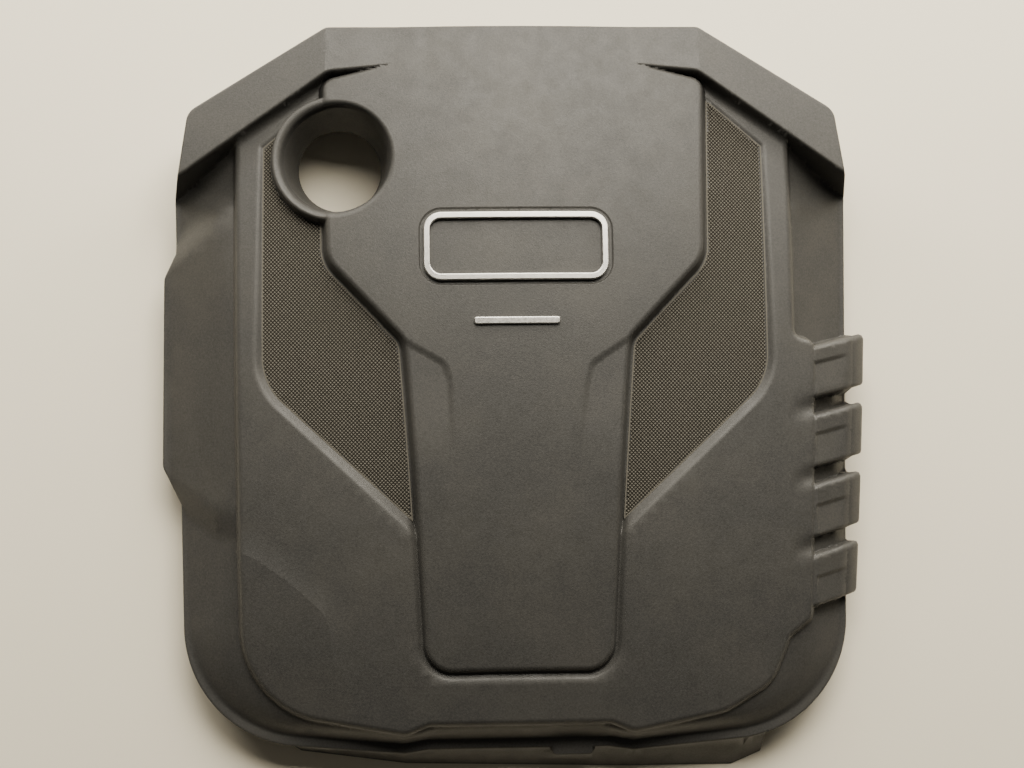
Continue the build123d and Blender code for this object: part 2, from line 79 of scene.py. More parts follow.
# Lean of the walls from upright, in degrees
WALL_DRAFT = 6.0
FIELD_DRAFT = 12.0
PLATEAU_DRAFT = 18.0
COLLAR_DRAFT = 8.0
CONE_DRAFT = 11.4

# Radii of the outer edges
FIELD_EDGE = 4.5
PLATEAU_EDGE = 3.5
BROW_EDGE = 2.0
FIN_EDGE = 2.5
COLLAR_EDGE = 2.4
RIM_EDGE = 1.6
TAB_EDGE = 1.2

# Sizes of the rounded joins
PANEL_JOIN = 1.6
PLATEAU_JOIN = 1.6
FLANGE_TOP_JOIN = 6.0
FLANGE_JOIN = 3.0
RIM_JOIN = 1.5
COLLAR_JOIN = 1.5
FIN_JOIN = 1.2
FIN_NOSE_JOIN = 6.0
FIN_BEVEL_JOIN = 0.4

# Rim, flange and brow
RIM_HEIGHT = 30.0
LEDGE = 3.0
FRONT_LEDGE = 7.0
FLANGE_HEIGHT = 70.0
FLANGE_SHARES = (-0.2, 1.5)
FLANGE_OVERLAP = 3.0
FLANGE_SINK = 0.6
BROW_TOP_HALF = 127.0
BROW_RISE_HALF = 80.0
BROW_SLOPE = 0.17
BROW_FOOT = 8.0
BROW_FOOT_HALF = (112.0, 140.0)
BROW_FOOT_SHARE = 0.8
BROW_FOOT_START = 0.5
GROOVE_TIP = 84.0
GROOVE_DROP = 0.4
GROOVE_SLOPE = 0.28
GROOVE_FRONT_Y = 212.0
GROOVE_WALL = 3.0

# Plateau, the groove round its tongue, and the panels beside it
PLATEAU_SKETCH_HEIGHT = 80.0
SPINE_STEP = 1.3
SPINE_EDGE = (-4.0, 1.0)
SPINE_FADE_Y = (-50.0, 18.0)
MOAT_WIDTH = 5.0
MOAT_DEPTH = 3.0
MOAT_SPREAD = 0.55 * MOAT_WIDTH
MOAT_FADE_Y = (-86.0, -46.0)
PANEL_WALL_SLOPE = 0.8
HIGH_CORNER_RISE = 1.2
HIGH_CORNER_SLOPE = 18.0
HIGH_CORNER_FADE_Y = (-220.0, -165.0)

# Fins
PAD_HALF = 203.0
FIN_COUNT = 4
FIN_PITCH = 47.0
FIN_WIDTH = 35.5
FIN_SLANT = tan(radians(14.4))
FIN_FIRST_Y = 35.0
FIN_STEP = 0.5
FIN_FALL = 12.0
FIN_NOSE = 10.0
FIN_TAPER = 0.045
FIN_ROOT = 192.0
FIN_BEVEL = 3.6
FIN_BEVEL_SLOPE = 0.6
FIN_BED = 7.0
FIN_BED_REACH = (218.0, 234.0)
DASH_INSET = 12.5
DASH_SHIFT = 1.3
DASH_LENGTH = 28.0
DASH_DEPTH = 1.7
DASH_HALF = 1.7
DASH_RUN_OUT = 19.0
DASH_START = (PAD_HALF - 1.5, PAD_HALF + 0.5)
DASH_END = (PAD_HALF + DASH_LENGTH / 2, PAD_HALF + DASH_LENGTH)
GAP_LENGTH = 19.0
GAP_DEPTH = 3.2

# Bulge and apron
BULGE_REAR_Y = 89.0
BULGE_FRONT_Y = -42.0
BULGE_RAMP = 27.0
BULGE_SIDE = 229.5
BULGE_ROOT = 180.0
BULGE_LIFT = 6.9
BULGE_SPREAD = 0.65
BULGE_SPREAD_REACH = 40.0
APRON_X = (-203.0, -151.0, -78.0, 78.0, 150.0, 171.0)
APRON_ROOT_Y = (-204.5, -230.5, -237.0, -237.0, -230.5, -225.5)
APRON_REACH = (2.5, 9.0, 12.5, 17.0, 23.5, 20.0)
APRON_HEIGHT = 0.8
TAB_PLACE = (36.5, -236.5)
TAB_HALF = (14.0, 5.0)

# Oil filler funnel
FUNNEL = (-120.3, 162.6)
MOUTH_RADIUS = 38.0
MOUTH_HEIGHT = 82.0
THROAT_RADIUS = 28.7
FUNNEL_FOOT = 36.0
COLLAR_RADIUS = 43.3
LIP_RADIUS = 6.0
LIP_THIN = 2.5
LIP_TURN = 225.0

# Trim recess
RECESS_HALF = (64.5, 26.0)
RECESS_Y = 100.0
RECESS_CORNER = 15.0
RECESS_DEPTH = 1.4
RECESS_EDGE = (-0.9, 0.3)
PIN_PLACES = ((-59.25, 100.0), (59.25, 100.0), (-20.0, 50.0), (20.0, 50.0))

# Mesh spacing
ALONG = 2.6
GRID = 7.0
CLOSEST = 0.45
ARC_STEP = 2.0
MOUTH_POINTS = 150
WALL_TURN = 1.2
CONE_TURN = 1.0
CHUNK = 4000

# Smallest sizes
SLOPE_PROBE = 0.05
SLIVER = 0.01
TINY = 1e-9
MERGE = 1e-5


class Side(Enum):
    """Side of the cover's middle line."""

    LEFT = -1
    RIGHT = 1


def mirrored(half: Sequence[Point]) -> tuple[Point, ...]:
    """Close an outline from the corners of its right half, front to rear."""
    return tuple(half) + tuple((-x, y) for x, y in reversed(half))


def twice(radii: Sequence[float]) -> tuple[float, ...]:
    """Repeat the corner radii of a right half for the mirrored outline."""
    return tuple(radii) + tuple(reversed(radii))


def circle(middle: Point, radius: float, count: int) -> np.ndarray:
    """Spread points evenly round a circle."""
    angles = np.linspace(0, 2 * pi, count, endpoint=False)
    return np.array(middle) + np.column_stack((np.cos(angles), np.sin(angles))) * radius


def grid(across: Point, along: Point, step: float) -> np.ndarray:
    """Lay a grid of points between limits along X and Y."""
    return np.array([(x, y) for x in np.arange(*across, step) for y in np.arange(*along, step)])


def from_funnel(places: np.ndarray) -> np.ndarray:
    """Distance of each place from the funnel's middle."""
    return np.hypot(places[:, 0] - FUNNEL[0], places[:, 1] - FUNNEL[1])


@dataclass(frozen=True)
class Outline:
    """Closed outline in plan with rounded corners."""

    corners: tuple[Point, ...]
    radii: tuple[float, ...]

    def ring(self) -> np.ndarray:
        """Round the corners.

        Returns:
            Points of the rounded outline, in order.
        """
        points: list[np.ndarray] = []
        count = len(self.corners)
        for index in range(count):
            here = np.array(self.corners[index])
            back = np.array(self.corners[index - 1]) - here
            ahead = np.array(self.corners[(index + 1) % count]) - here
            shortest = min(np.linalg.norm(back), np.linalg.norm(ahead)) / 2
            back /= np.linalg.norm(back)
            ahead /= np.linalg.norm(ahead)
            corner = acos(float(np.clip(back @ ahead, -1.0, 1.0)))
            cut = min(self.radii[index] / tan(corner / 2), shortest)
            radius = cut * tan(corner / 2)
            if radius < CLOSEST:
                points.append(here)
                continue
            middle = back + ahead
            centre = here + middle / np.linalg.norm(middle) * radius / sin(corner / 2)
            first = here + back * cut - centre
            last = here + ahead * cut - centre
            turn = pi - corner
            steps = max(2, int(turn * radius / ARC_STEP))
            for step in range(steps + 1):
                share = step / steps
                swing = (sin((1 - share) * turn) * first + sin(share * turn) * last) / sin(turn)
                points.append(centre + swing)
        return np.array(points)

    def dense(self) -> np.ndarray:
        """Spread points evenly along the outline.

        Returns:
            Points along the outline.
        """
        ring = self.ring()
        points: list[np.ndarray] = []
        for start, end in zip(ring, np.roll(ring, -1, axis=0)):
            steps = max(1, int(np.ceil(np.linalg.norm(end - start) / ALONG)))
            points.extend(start + (end - start) * step / steps for step in range(steps))
        return np.array(points)

    def strips(
        self, offsets: Iterable[float], shift: Callable[[np.ndarray], np.ndarray] | None = None
    ) -> np.ndarray:
        """Points on lines that follow the outline.

        Args:
            offsets: Distances inside the outline.
            shift: Extra distance inside for given points.

        Returns:
            Points of all the lines.
        """
        line = self.dense()
        tangent = np.roll(line, -1, axis=0) - np.roll(line, 1, axis=0)
        tangent /= np.linalg.norm(tangent, axis=1)[:, None]
        inward = np.column_stack((-tangent[:, 1], tangent[:, 0]))
        probe = line + inward * CLOSEST
        inward[self.inside(probe) < 0] *= -1
        extra = shift(line) if shift else np.zeros(len(line))
        return np.vstack([line + inward * (offset + extra)[:, None] for offset in offsets])

    def inside(self, places: np.ndarray) -> np.ndarray:
        """Distance inside the outline.

        Args:
            places: Places in plan.

        Returns:
            Distance to the outline, negative outside it.
        """
        start = self.ring()
        end = np.roll(start, -1, axis=0)
        run = end - start
        length = np.maximum((run**2).sum(1), TINY**2)
        rise = np.where(np.abs(run[:, 1]) < TINY, TINY, run[:, 1])
        result = np.empty(len(places))
        for low in range(0, len(places), CHUNK):
            part = places[low : low + CHUNK]
            away = part[:, None, :] - start[None]
            share = np.clip((away * run).sum(2) / length, 0.0, 1.0)
            gap = away - share[..., None] * run
            near = np.sqrt((gap**2).sum(2).min(1))
            level = part[:, 1][:, None]
            crosses = (start[:, 1] > level) != (end[:, 1] > level)
            meets = start[:, 0] + (level - start[:, 1]) / rise * run[:, 0]
            odd = (crosses & (part[:, 0][:, None] < meets)).sum(1) % 2
            result[low : low + CHUNK] = np.where(odd, near, -near)
        return result


def rectangle(middle: Point, half: Point, radius: float) -> Outline:
    """Outline of a rounded rectangle.

    Args:
        middle: Its centre.
        half: Half its length and width.
        radius: Its corner radius.

    Returns:
        The outline.
    """
    turns = ((1, -1), (1, 1), (-1, 1), (-1, -1))
    corners = tuple((middle[0] + x * half[0], middle[1] + y * half[1]) for x, y in turns)
    return Outline(corners, (radius,) * len(turns))


def line_distance(places: np.ndarray, line: Sequence[Point]) -> np.ndarray:
    """Distance to an open line.

    Args:
        places: Places in plan.
        line: Points of the line.

    Returns:
        Distance of each place to the line.
    """
    points = np.array(line)
    nearest = np.full(len(places), np.inf)
    for start, end in zip(points[:-1], points[1:]):
        run = end - start
        share = np.clip(((places - start) @ run) / (run @ run), 0.0, 1.0)
        gap = places - start - share[:, None] * run
        nearest = np.minimum(nearest, np.sqrt((gap**2).sum(1)))
    return nearest


def ease(value: np.ndarray, low: float, high: float) -> np.ndarray:
    """Step smoothly from 0 at the low value to 1 at the high one."""
    share = np.clip((value - low) / (high - low), 0.0, 1.0)
    return share * share * (3.0 - 2.0 * share)


def soft_min(first: np.ndarray, second: np.ndarray, blend: float) -> np.ndarray:
    """Lower of two heights, with a rounded join of the given size."""
    share = np.maximum(blend - np.abs(first - second), 0.0) / blend
    return np.minimum(first, second) - share * share * blend / 4


def soft_max(first: np.ndarray, second: np.ndarray, blend: float) -> np.ndarray:
    """Higher of two heights, with a rounded join of the given size."""
    return -soft_min(-first, -second, blend)


def edge_drop(inside: np.ndarray, radius: np.ndarray | float, draft: float) -> np.ndarray:
    """Fall of a rounded edge and the drafted wall under it.

    Args:
        inside: Distance inside the sharp edge.
        radius: Edge radius.
        draft: Lean of the wall from upright, in degrees.

    Returns:
        How far the surface lies below the flat top.
    """
    lean = radians(90.0 - draft)
    start = radius * tan(lean / 2)
    arc = radius - np.sqrt(np.maximum(radius**2 - np.clip(start - inside, 0.0, radius) ** 2, 0.0))
    wall = -inside * tan(lean)
    return np.where(inside <= -start * cos(lean), wall, np.where(inside >= start, 0.0, arc))


def dome(places: np.ndarray, drop: float = 0.0, tilt: float = 0.0) -> np.ndarray:
    """Height of a level parallel to the dome.

    Args:
        places: Places in plan.
        drop: Distance below the dome.
        tilt: Rise towards the front, in degrees.

    Returns:
        Heights of the level.
    """
    along = places[:, 1] - DOME_PEAK_Y
    rise = np.sqrt((DOME_RADIUS - drop) ** 2 - places[:, 0] ** 2 - along**2)
    return TOP - DOME_RADIUS + rise - tan(radians(tilt)) * along


def funnel_radius(height: float) -> float:
    """Radius of the funnel's cone at a height."""
    rise = (height - FUNNEL_FOOT) / (MOUTH_HEIGHT - FUNNEL_FOOT)
    return THROAT_RADIUS + rise * (MOUTH_RADIUS - THROAT_RADIUS)


# Right half of the rim, and how far the flange's foot lies from it
RIM_HALF = (
    (62.0, -236.5), (78.0, -239.0), (226.0, -226.0), (235.5, 143.0),
    (227.5, 153.0), (221.5, 198.0), (BROW_TOP_HALF, REAR_Y),
)
RIM_RADII = (6.0, 10.0, 85.0, 4.0, 4.0, 12.0, 8.0)
FOOT_SHIFTS = (
    (0.0, FRONT_LEDGE), (0.0, FRONT_LEDGE), (-LEDGE, FRONT_LEDGE), (-LEDGE, 0.0),
    (-LEDGE, 0.0), (-LEDGE, 0.0), (0.0, -LEDGE),
)
FOOT_HALF = tuple((x + dx, y + dy) for (x, y), (dx, dy) in zip(RIM_HALF, FOOT_SHIFTS))
RIM = Outline(mirrored(RIM_HALF), twice(RIM_RADII))
FLANGE_FOOT = Outline(mirrored(FOOT_HALF), twice(RIM_RADII))
FLANGE_HEAD = Outline(
    mirrored((
        (58.0, -211.0), (72.0, -218.0), (158.0, -198.0), (171.0, 132.0),
        (167.0, 146.0), (160.0, 190.0), (95.0, 236.0),
    )),
    twice((6.0, 10.0, 55.0, 4.0, 4.0, 10.0, 8.0)),
)
FIELD = Outline(
    (
        (61.0, -217.0), (76.5, -223.5), (140.0, -211.5), (172.0, -193.0), (183.9, -162.0),
        (199.5, -150.0), (PAD_HALF, 37.0), (188.6, 41.0), (189.5, 186.0), (120.0, 238.0),
        (-120.0, 238.0), (-189.5, 186.0), (-185.0, -204.5), (-76.5, -223.5), (-61.0, -217.0),
    ),
    (8.0, 12.0, 40.0, 30.0, 7.0, 7.0, 6.0, 7.0, 10.0, 10.0, 10.0, 10.0, 62.0, 12.0, 8.0),
)

# Right half of the plateau's tongue and head, which the foam pad follows
HEAD_HALF = ((57.0, -176.0), (76.5, 37.6), (126.5, 92.6), (127.0, 215.0))
HEAD_RADII = (14.0, 14.0, 25.0, 7.0)
HEAD = Outline(mirrored(HEAD_HALF), twice(HEAD_RADII))
PLATEAU = Outline(
    mirrored((*HEAD_HALF, (85.0, 226.0), (150.0, 240.0), (150.0, REAR_Y + OVERRUN))),
    twice((*HEAD_RADII, 2.0, 1.0, 1.0)),
)
BROW = Outline(
    mirrored(((85.0, 226.0), (125.7, 222.0), (273.0, 122.15), (273.0, REAR_Y + OVERRUN))),
    twice((8.0, 14.0, 1.0, 1.0)),
)
SPINE = Outline(
    (
        (-41.0, -70.0), (40.0, -70.0), (39.0, -42.0), (44.2, 6.9), (47.7, 22.1),
        (74.7, 40.0), (150.0, 100.0), (150.0, REAR_Y + OVERRUN), (-150.0, REAR_Y + OVERRUN),
        (-150.0, 100.0), (-72.0, 37.6), (-46.6, 22.9), (-43.4, 11.0), (-41.9, -35.0),
    ),
    (1.0, 1.0, 20.0, 12.0, 10.0, 6.0, 1.0, 1.0, 1.0, 1.0, 6.0, 10.0, 12.0, 20.0),
)
RECESS = rectangle((0.0, RECESS_Y), RECESS_HALF, RECESS_CORNER)
TAB = rectangle(TAB_PLACE, TAB_HALF, TAB_HALF[1] / 2)
BULGE = Outline(
    (
        (-BULGE_ROOT, BULGE_REAR_Y + BULGE_RAMP + OVERRUN),
        (-BULGE_SIDE, BULGE_REAR_Y + BULGE_RAMP),
        (-REACH, BULGE_REAR_Y),
        (-REACH, BULGE_FRONT_Y),
        (-BULGE_SIDE, BULGE_FRONT_Y - BULGE_RAMP),
        (-BULGE_ROOT, BULGE_FRONT_Y - BULGE_RAMP - OVERRUN),
    ),
    (1.0, 4.0, 8.0, 8.0, 4.0, 1.0),
)
APRON = Outline(
    tuple((x, y - out) for x, y, out in zip(APRON_X, APRON_ROOT_Y, APRON_REACH))
    + tuple((x, y + LEDGE) for x, y in zip(reversed(APRON_X), reversed(APRON_ROOT_Y))),
    (1.0,) * (2 * len(APRON_X)),
)

# Front left corner of the field, which lies a little higher
HIGH_CORNER = Outline(
    (
        (-260.0, -75.0), (-176.0, -104.0), (-152.0, -121.0), (-129.0, -142.0),
        (-124.0, -160.0), (-120.0, -260.0), (-260.0, -260.0),
    ),
    (1.0, 20.0, 20.0, 20.0, 20.0, 1.0, 1.0),
)

# Faint moulded creases: points, half width and depth
CREASES = (
    (((202.0, 35.0), (197.4, -146.0)), 0.7, -0.3),
    (((-60.5, 252.0), (-57.5, 228.0), (-62.0, 214.0)), 5.0, 0.25),
    (((60.5, 252.0), (57.5, 228.0), (62.0, 214.0)), 5.0, 0.25),
)


def panel_outline(side: Side) -> Outline:
    """Outline of one textured panel, whose inner side runs on under the plateau."""
    half = ((62.0, -89.0), (170.5, 11.0), (170.5, 173.0), (110.0, 225.3), (62.0, 11.0))
    return Outline(tuple((side.value * x, y) for x, y in half), (0.0, 42.0, 1.0, 1.0, 1.0))


def fin_tip(root_y: np.ndarray | float) -> np.ndarray | float:
    """How far out a fin reaches, by the place along the pad where its line starts."""
    return REACH - FIN_TAPER * (FIN_FIRST_Y - root_y)


def fin_line(places: np.ndarray) -> np.ndarray:
    """Follow the fins' slant from each place back to the pad's edge, along Y."""
    return places[:, 1] - FIN_SLANT * (places[:, 0] - PAD_HALF)


def fin_outline(index: int) -> Outline:
    """Plan of one fin.

    Args:
        index: Number of the fin, from the rear.

    Returns:
        The fin's slanted outline.
    """
    rear = FIN_FIRST_Y - index * FIN_PITCH
    front = rear - FIN_WIDTH
    ends = ((FIN_ROOT, front), (fin_tip(front), front), (fin_tip(rear), rear), (FIN_ROOT, rear))
    return Outline(
        tuple((x, root_y + FIN_SLANT * (x - PAD_HALF)) for x, root_y in ends), (1.0, 3.0, 3.0, 1.0)
    )


PANELS = {side: panel_outline(side) for side in Side}
FINS = tuple(fin_outline(index) for index in range(FIN_COUNT))
FOOTPRINT = (RIM, BULGE, APRON, TAB, *FINS)


class ShowFace:
    """Height of the moulded show face at any place in plan."""

    def field(self, places: np.ndarray) -> np.ndarray:
        """Lower field with its panels, its high corner and the groove round the tongue.

        Args:
            places: Places in plan.

        Returns:
            Heights of the field.
        """
        level = dome(places, FIELD_DROP, FIELD_TILT)
        level -= edge_drop(FIELD.inside(places), FIELD_EDGE, FIELD_DRAFT)
        floor = dome(places, PANEL_DROP, PANEL_TILT)
        for outline in PANELS.values():
            outside = np.maximum(-outline.inside(places), 0.0)
            level = soft_min(level, floor + PANEL_WALL_SLOPE * outside, PANEL_JOIN)
        corner = np.clip(HIGH_CORNER.inside(places) / HIGH_CORNER_SLOPE + 1.0, 0.0, 1.0) ** 2
        level += HIGH_CORNER_RISE * corner * ease(places[:, 1], *HIGH_CORNER_FADE_Y)
        groove = -self.plateau_inside(places) - MOAT_WIDTH / 2
        depth = MOAT_DEPTH * (1.0 - ease(places[:, 1], *MOAT_FADE_Y))
        level -= depth * np.exp(-((groove / MOAT_SPREAD) ** 2))
        return level - self.fin_gaps(places)

    @staticmethod
    def fin_gaps(places: np.ndarray) -> np.ndarray:
        """Shallow ends of the fins' gaps, which run out on the pad.

        Args:
            places: Places in plan.

        Returns:
            Depth below the pad.
        """
        root_y = fin_line(places)
        half = (FIN_PITCH - FIN_WIDTH) / 2
        depth = np.zeros(len(places))
        for index in range(FIN_COUNT - 1):
            middle = FIN_FIRST_Y - index * FIN_PITCH - FIN_WIDTH - half
            depth += np.exp(-(((root_y - middle) / half) ** 2))
        return GAP_DEPTH * depth * np.clip((places[:, 0] - PAD_HALF) / GAP_LENGTH + 1.0, 0.0, 1.0)

    @staticmethod
    def plateau_shift(places: np.ndarray) -> np.ndarray:
        """How far the drafted wall sets the plateau's edge inside its sketch line."""
        return (dome(places) - PLATEAU_SKETCH_HEIGHT) * tan(radians(PLATEAU_DRAFT))

    def plateau_inside(self, places: np.ndarray) -> np.ndarray:
        """Distance inside the plateau's upper edge, negative outside."""
        return PLATEAU.inside(places) - self.plateau_shift(places)

    def plateau(self, places: np.ndarray) -> np.ndarray:
        """Plateau with its spine, trim recess and drafted walls.

        Args:
            places: Places in plan.

        Returns:
            Heights of the plateau.
        """
        level = dome(places) - edge_drop(self.plateau_inside(places), PLATEAU_EDGE, PLATEAU_DRAFT)
        flank = 1.0 - ease(SPINE.inside(places), *SPINE_EDGE)
        level -= SPINE_STEP * flank * ease(places[:, 1], *SPINE_FADE_Y)
        recess = 1.0 - ease(-RECESS.inside(places), *RECESS_EDGE)
        return level - RECESS_DEPTH * recess

    @staticmethod
    def groove(places: np.ndarray) -> np.ndarray:
        """Floor of the groove between the head and the brow, which runs out towards the middle.

        Args:
            places: Places in plan.

        Returns:
            Heights of the groove's floor.
        """
        across = np.maximum(np.abs(places[:, 0]) - GROOVE_TIP, 0.0)
        before = np.maximum(GROOVE_FRONT_Y - places[:, 1], 0.0)
        return dome(places, GROOVE_DROP) - GROOVE_SLOPE * across - GROOVE_WALL * before

    @staticmethod
    def brow(places: np.ndarray, rest: np.ndarray) -> np.ndarray:
        """Brow along the rear, with a rounded foot.

        Args:
            places: Places in plan.
            rest: Heights of what lies in front of the brow.

        Returns:
            Heights of the brow.
        """
        across = np.abs(places[:, 0])
        fall = DOME_RADIUS - np.sqrt(DOME_RADIUS**2 - BROW_RISE_HALF**2)
        drop = fall + BROW_SLOPE * np.maximum(across - BROW_TOP_HALF, 0.0)
        along = places[:, 1] - DOME_PEAK_Y
        level = TOP - DOME_RADIUS + np.sqrt((DOME_RADIUS - drop) ** 2 - along**2)
        inside = BROW.inside(places)
        room = SLIVER + BROW_FOOT * ease(across, *BROW_FOOT_HALF)
        radius = np.clip(BROW_FOOT_SHARE * (level - rest) - BROW_FOOT_START, SLIVER, room)
        short = np.clip(radius + np.minimum(inside, 0.0), 0.0, radius)
        foot = rest + radius - np.sqrt(radius**2 - short**2)
        return np.maximum(level - edge_drop(inside, BROW_EDGE, WALL_DRAFT), np.minimum(foot, level))

    def flange(self, places: np.ndarray) -> np.ndarray:
        """Sloped flange between the rim's shelf and the field.

        Args:
            places: Places in plan.

        Returns:
            Heights of the flange.
        """
        low = FLANGE_FOOT.inside(places)
        high = FLANGE_HEAD.inside(places)
        share = np.clip(low / np.maximum(low - high, 1.0), *FLANGE_SHARES)
        slope = RIM_HEIGHT + (FLANGE_HEIGHT - RIM_HEIGHT) * share
        slope += BULGE_LIFT * self.bulging(places) + FIN_BED * self.fin_bed(places)
        return soft_min(dome(places, FIELD_DROP + FLANGE_STEP, FIELD_TILT), slope, FLANGE_TOP_JOIN)

    @staticmethod
    def fin(places: np.ndarray, index: int) -> np.ndarray:
        """One fin, bevelled along its rear edge, with a short step.

        Args:
            places: Places in plan.
            index: Number of the fin, from the rear.

        Returns:
            Heights of the fin and its upright walls.
        """
        across = places[:, 0]
        root_y = fin_line(places)
        root = np.column_stack((np.full(len(places), PAD_HALF), places[:, 1]))
        shoulder = fin_tip(root_y) - FIN_NOSE
        share = np.clip((across - PAD_HALF) / (shoulder - PAD_HALF), 0.0, 1.0)
        top = dome(root, FIELD_DROP + FIN_STEP, FIELD_TILT) - FIN_FALL * share
        top = soft_min(top, top - (across - shoulder), FIN_NOSE_JOIN)
        behind = FIN_FIRST_Y - index * FIN_PITCH - root_y
        bevel = FIN_BEVEL_SLOPE * (FIN_BEVEL - behind)
        bevel = soft_max(bevel, np.zeros(len(places)), FIN_BEVEL_JOIN)
        past = behind - DASH_INSET - DASH_SHIFT * index
        dash = ease(past, -DASH_HALF, DASH_HALF) * (1.0 - np.clip(past / DASH_RUN_OUT, 0.0, 1.0))
        dash *= ease(across, *DASH_START) * (1.0 - ease(across, *DASH_END))
        return top - bevel - DASH_DEPTH * dash - edge_drop(FINS[index].inside(places), FIN_EDGE, WALL_DRAFT)

    @staticmethod
    def bulging(places: np.ndarray) -> np.ndarray:
        """Share of the bulge on the left flange.

        Args:
            places: Places in plan.

        Returns:
            1 along the bulge, falling to 0 past its slanted ends.
        """
        spread = BULGE_SPREAD * np.clip(REACH + places[:, 0], 0.0, BULGE_SPREAD_REACH)
        behind = places[:, 1] - BULGE_REAR_Y - spread
        before = BULGE_FRONT_Y - spread - places[:, 1]
        along = 1.0 - ease(np.maximum(behind, before), 0.0, BULGE_RAMP)
        return np.where(places[:, 0] < 0.0, along, 0.0)

    @staticmethod
    def fin_bed(places: np.ndarray) -> np.ndarray:
        """Share of the raised floor between the fins.

        Args:
            places: Places in plan.

        Returns:
            1 between the fins, falling to 0 at the rim.
        """
        root_y = fin_line(places)
        rear = FIN_FIRST_Y - FIN_WIDTH / 2
        front = rear - (FIN_COUNT - 1) * FIN_PITCH
        share = 1.0 - ease(places[:, 0], *FIN_BED_REACH)
        return np.where((places[:, 0] > FIN_ROOT) & (root_y < rear) & (root_y > front), share, 0.0)

    @staticmethod
    def apron(places: np.ndarray) -> np.ndarray:
        """Flared lip under the front rim.

        Args:
            places: Places in plan.

        Returns:
            Heights of the apron.
        """
        root = np.interp(places[:, 0], APRON_X, APRON_ROOT_Y)
        out = np.interp(places[:, 0], APRON_X, APRON_REACH)
        share = np.clip((places[:, 1] - root + out) / out, 0.0, 1.0)
        return APRON_HEIGHT + (RIM_HEIGHT - LEDGE - APRON_HEIGHT) * share

    @staticmethod
    def collar(places: np.ndarray, rest: np.ndarray) -> np.ndarray:
        """Lip round the funnel, rounded into its mouth.

        Args:
            places: Places in plan.
            rest: Heights without the funnel.

        Returns:
            Heights with the lip.
        """
        out = from_funnel(places)
        lip = dome(places, LIP_DROP) - edge_drop(COLLAR_RADIUS - out, COLLAR_EDGE, COLLAR_DRAFT)
        joined = soft_max(rest, lip, COLLAR_JOIN)
        turn = np.arctan2(places[:, 1] - FUNNEL[1], places[:, 0] - FUNNEL[0]) - radians(LIP_TURN)
        radius = LIP_THIN + (LIP_RADIUS - LIP_THIN) * (1.0 + np.cos(turn)) / 2
        return joined - edge_drop(out - MOUTH_RADIUS, radius, CONE_DRAFT)

    def height(self, places: np.ndarray) -> np.ndarray:
        """Height of the whole show face.

        Args:
            places: Places in plan.

        Returns:
            Heights, rounded off at the outer edge.
        """
        inner = soft_max(self.field(places), self.plateau(places), PLATEAU_JOIN)
        inner = np.maximum(inner, self.groove(places))
        under = np.maximum(FIELD.inside(places) - FLANGE_OVERLAP, 0.0)
        inner = soft_max(inner, self.flange(places) - FLANGE_SINK * under, FLANGE_JOIN)
        inner = soft_max(inner, np.full(len(places), RIM_HEIGHT), RIM_JOIN)
        inner = np.maximum(inner, self.brow(places, inner))
        inner = self.collar(places, inner)
        for line, width, depth in CREASES:
            inner -= depth * np.exp(-((line_distance(places, line) / width) ** 2))
        edge = np.maximum(RIM.inside(places), BULGE.inside(places))
        level = inner - edge_drop(edge, RIM_EDGE, WALL_DRAFT)
        level = np.maximum(level, RIM_HEIGHT - edge_drop(TAB.inside(places), TAB_EDGE, WALL_DRAFT))
        level = np.maximum(level, self.apron(places))
        for index in range(FIN_COUNT):
            level = soft_max(level, self.fin(places, index), FIN_JOIN)
        return level

    def normals(self, places: np.ndarray) -> np.ndarray:
        """Upward normals of the show face.

        Args:
            places: Places in plan.

        Returns:
            Unit normals.
        """
        slopes = [
            (self.height(places + step) - self.height(places - step)) / (2 * SLOPE_PROBE)
            for step in np.eye(2) * SLOPE_PROBE
        ]
        normal = np.column_stack((-slopes[0], -slopes[1], np.ones(len(places))))
        return normal / np.linalg.norm(normal, axis=1)[:, None]


def thinned(points: np.ndarray, closest: float) -> np.ndarray:
    """Drop points that crowd earlier ones.

    Args:
        points: Places in plan, the most important first.
        closest: Smallest distance to keep.

    Returns:
        Points that are left.
    """
    kept: dict[tuple[int, int], list[np.ndarray]] = {}
    result: list[np.ndarray] = []
    for point in points:
        column, row = int(point[0] // closest), int(point[1] // closest)
        near = (
            other
            for dx in (-1, 0, 1)
            for dy in (-1, 0, 1)
            for other in kept.get((column + dx, row + dy), ())
        )
        if any((point[0] - other[0]) ** 2 + (point[1] - other[1]) ** 2 < closest**2 for other in near):
            continue
        kept.setdefault((column, row), []).append(point)
        result.append(point)
    return np.array(result)


def compact(rows: np.ndarray, faces: Sequence[Sequence[int]]) -> tuple[np.ndarray, list[list[int]]]:
    """Drop the vertices that no face uses.

    Args:
        rows: One row of values for each vertex.
        faces: Faces as lists of vertex numbers.

    Returns:
        Rows that are left, and the faces renumbered.
    """
    used = sorted({index for face in faces for index in face})
    renumber = {old: new for new, old in enumerate(used)}
    return rows[used], [[renumber[index] for index in face] for face in faces]


def triangulate(
    points: np.ndarray, loops: Sequence[np.ndarray], hole: np.ndarray
) -> tuple[np.ndarray, list[list[int]]]:
    """Triangles over the union of some outlines, less a hole.

    Args:
        points: Loose points to use.
        loops: Outlines to fill.
        hole: Outline to leave open.

    Returns:
        Places in plan and triangles.
    """
    places: list[Vector] = []
    faces: list[list[int]] = []
    for loop in (*loops, hole):
        faces.append(list(range(len(places), len(places) + len(loop))))
        places.extend(Vector(point) for point in loop)
    places.extend(Vector(point) for point in points)
    verts, _, triangles, _, _, sources = delaunay_2d_cdt(places, [], faces, 1, MERGE)
    hole_number = len(loops)
    kept = [triangle for triangle, source in zip(triangles, sources) if hole_number not in source]
    return compact(np.array(verts), kept)


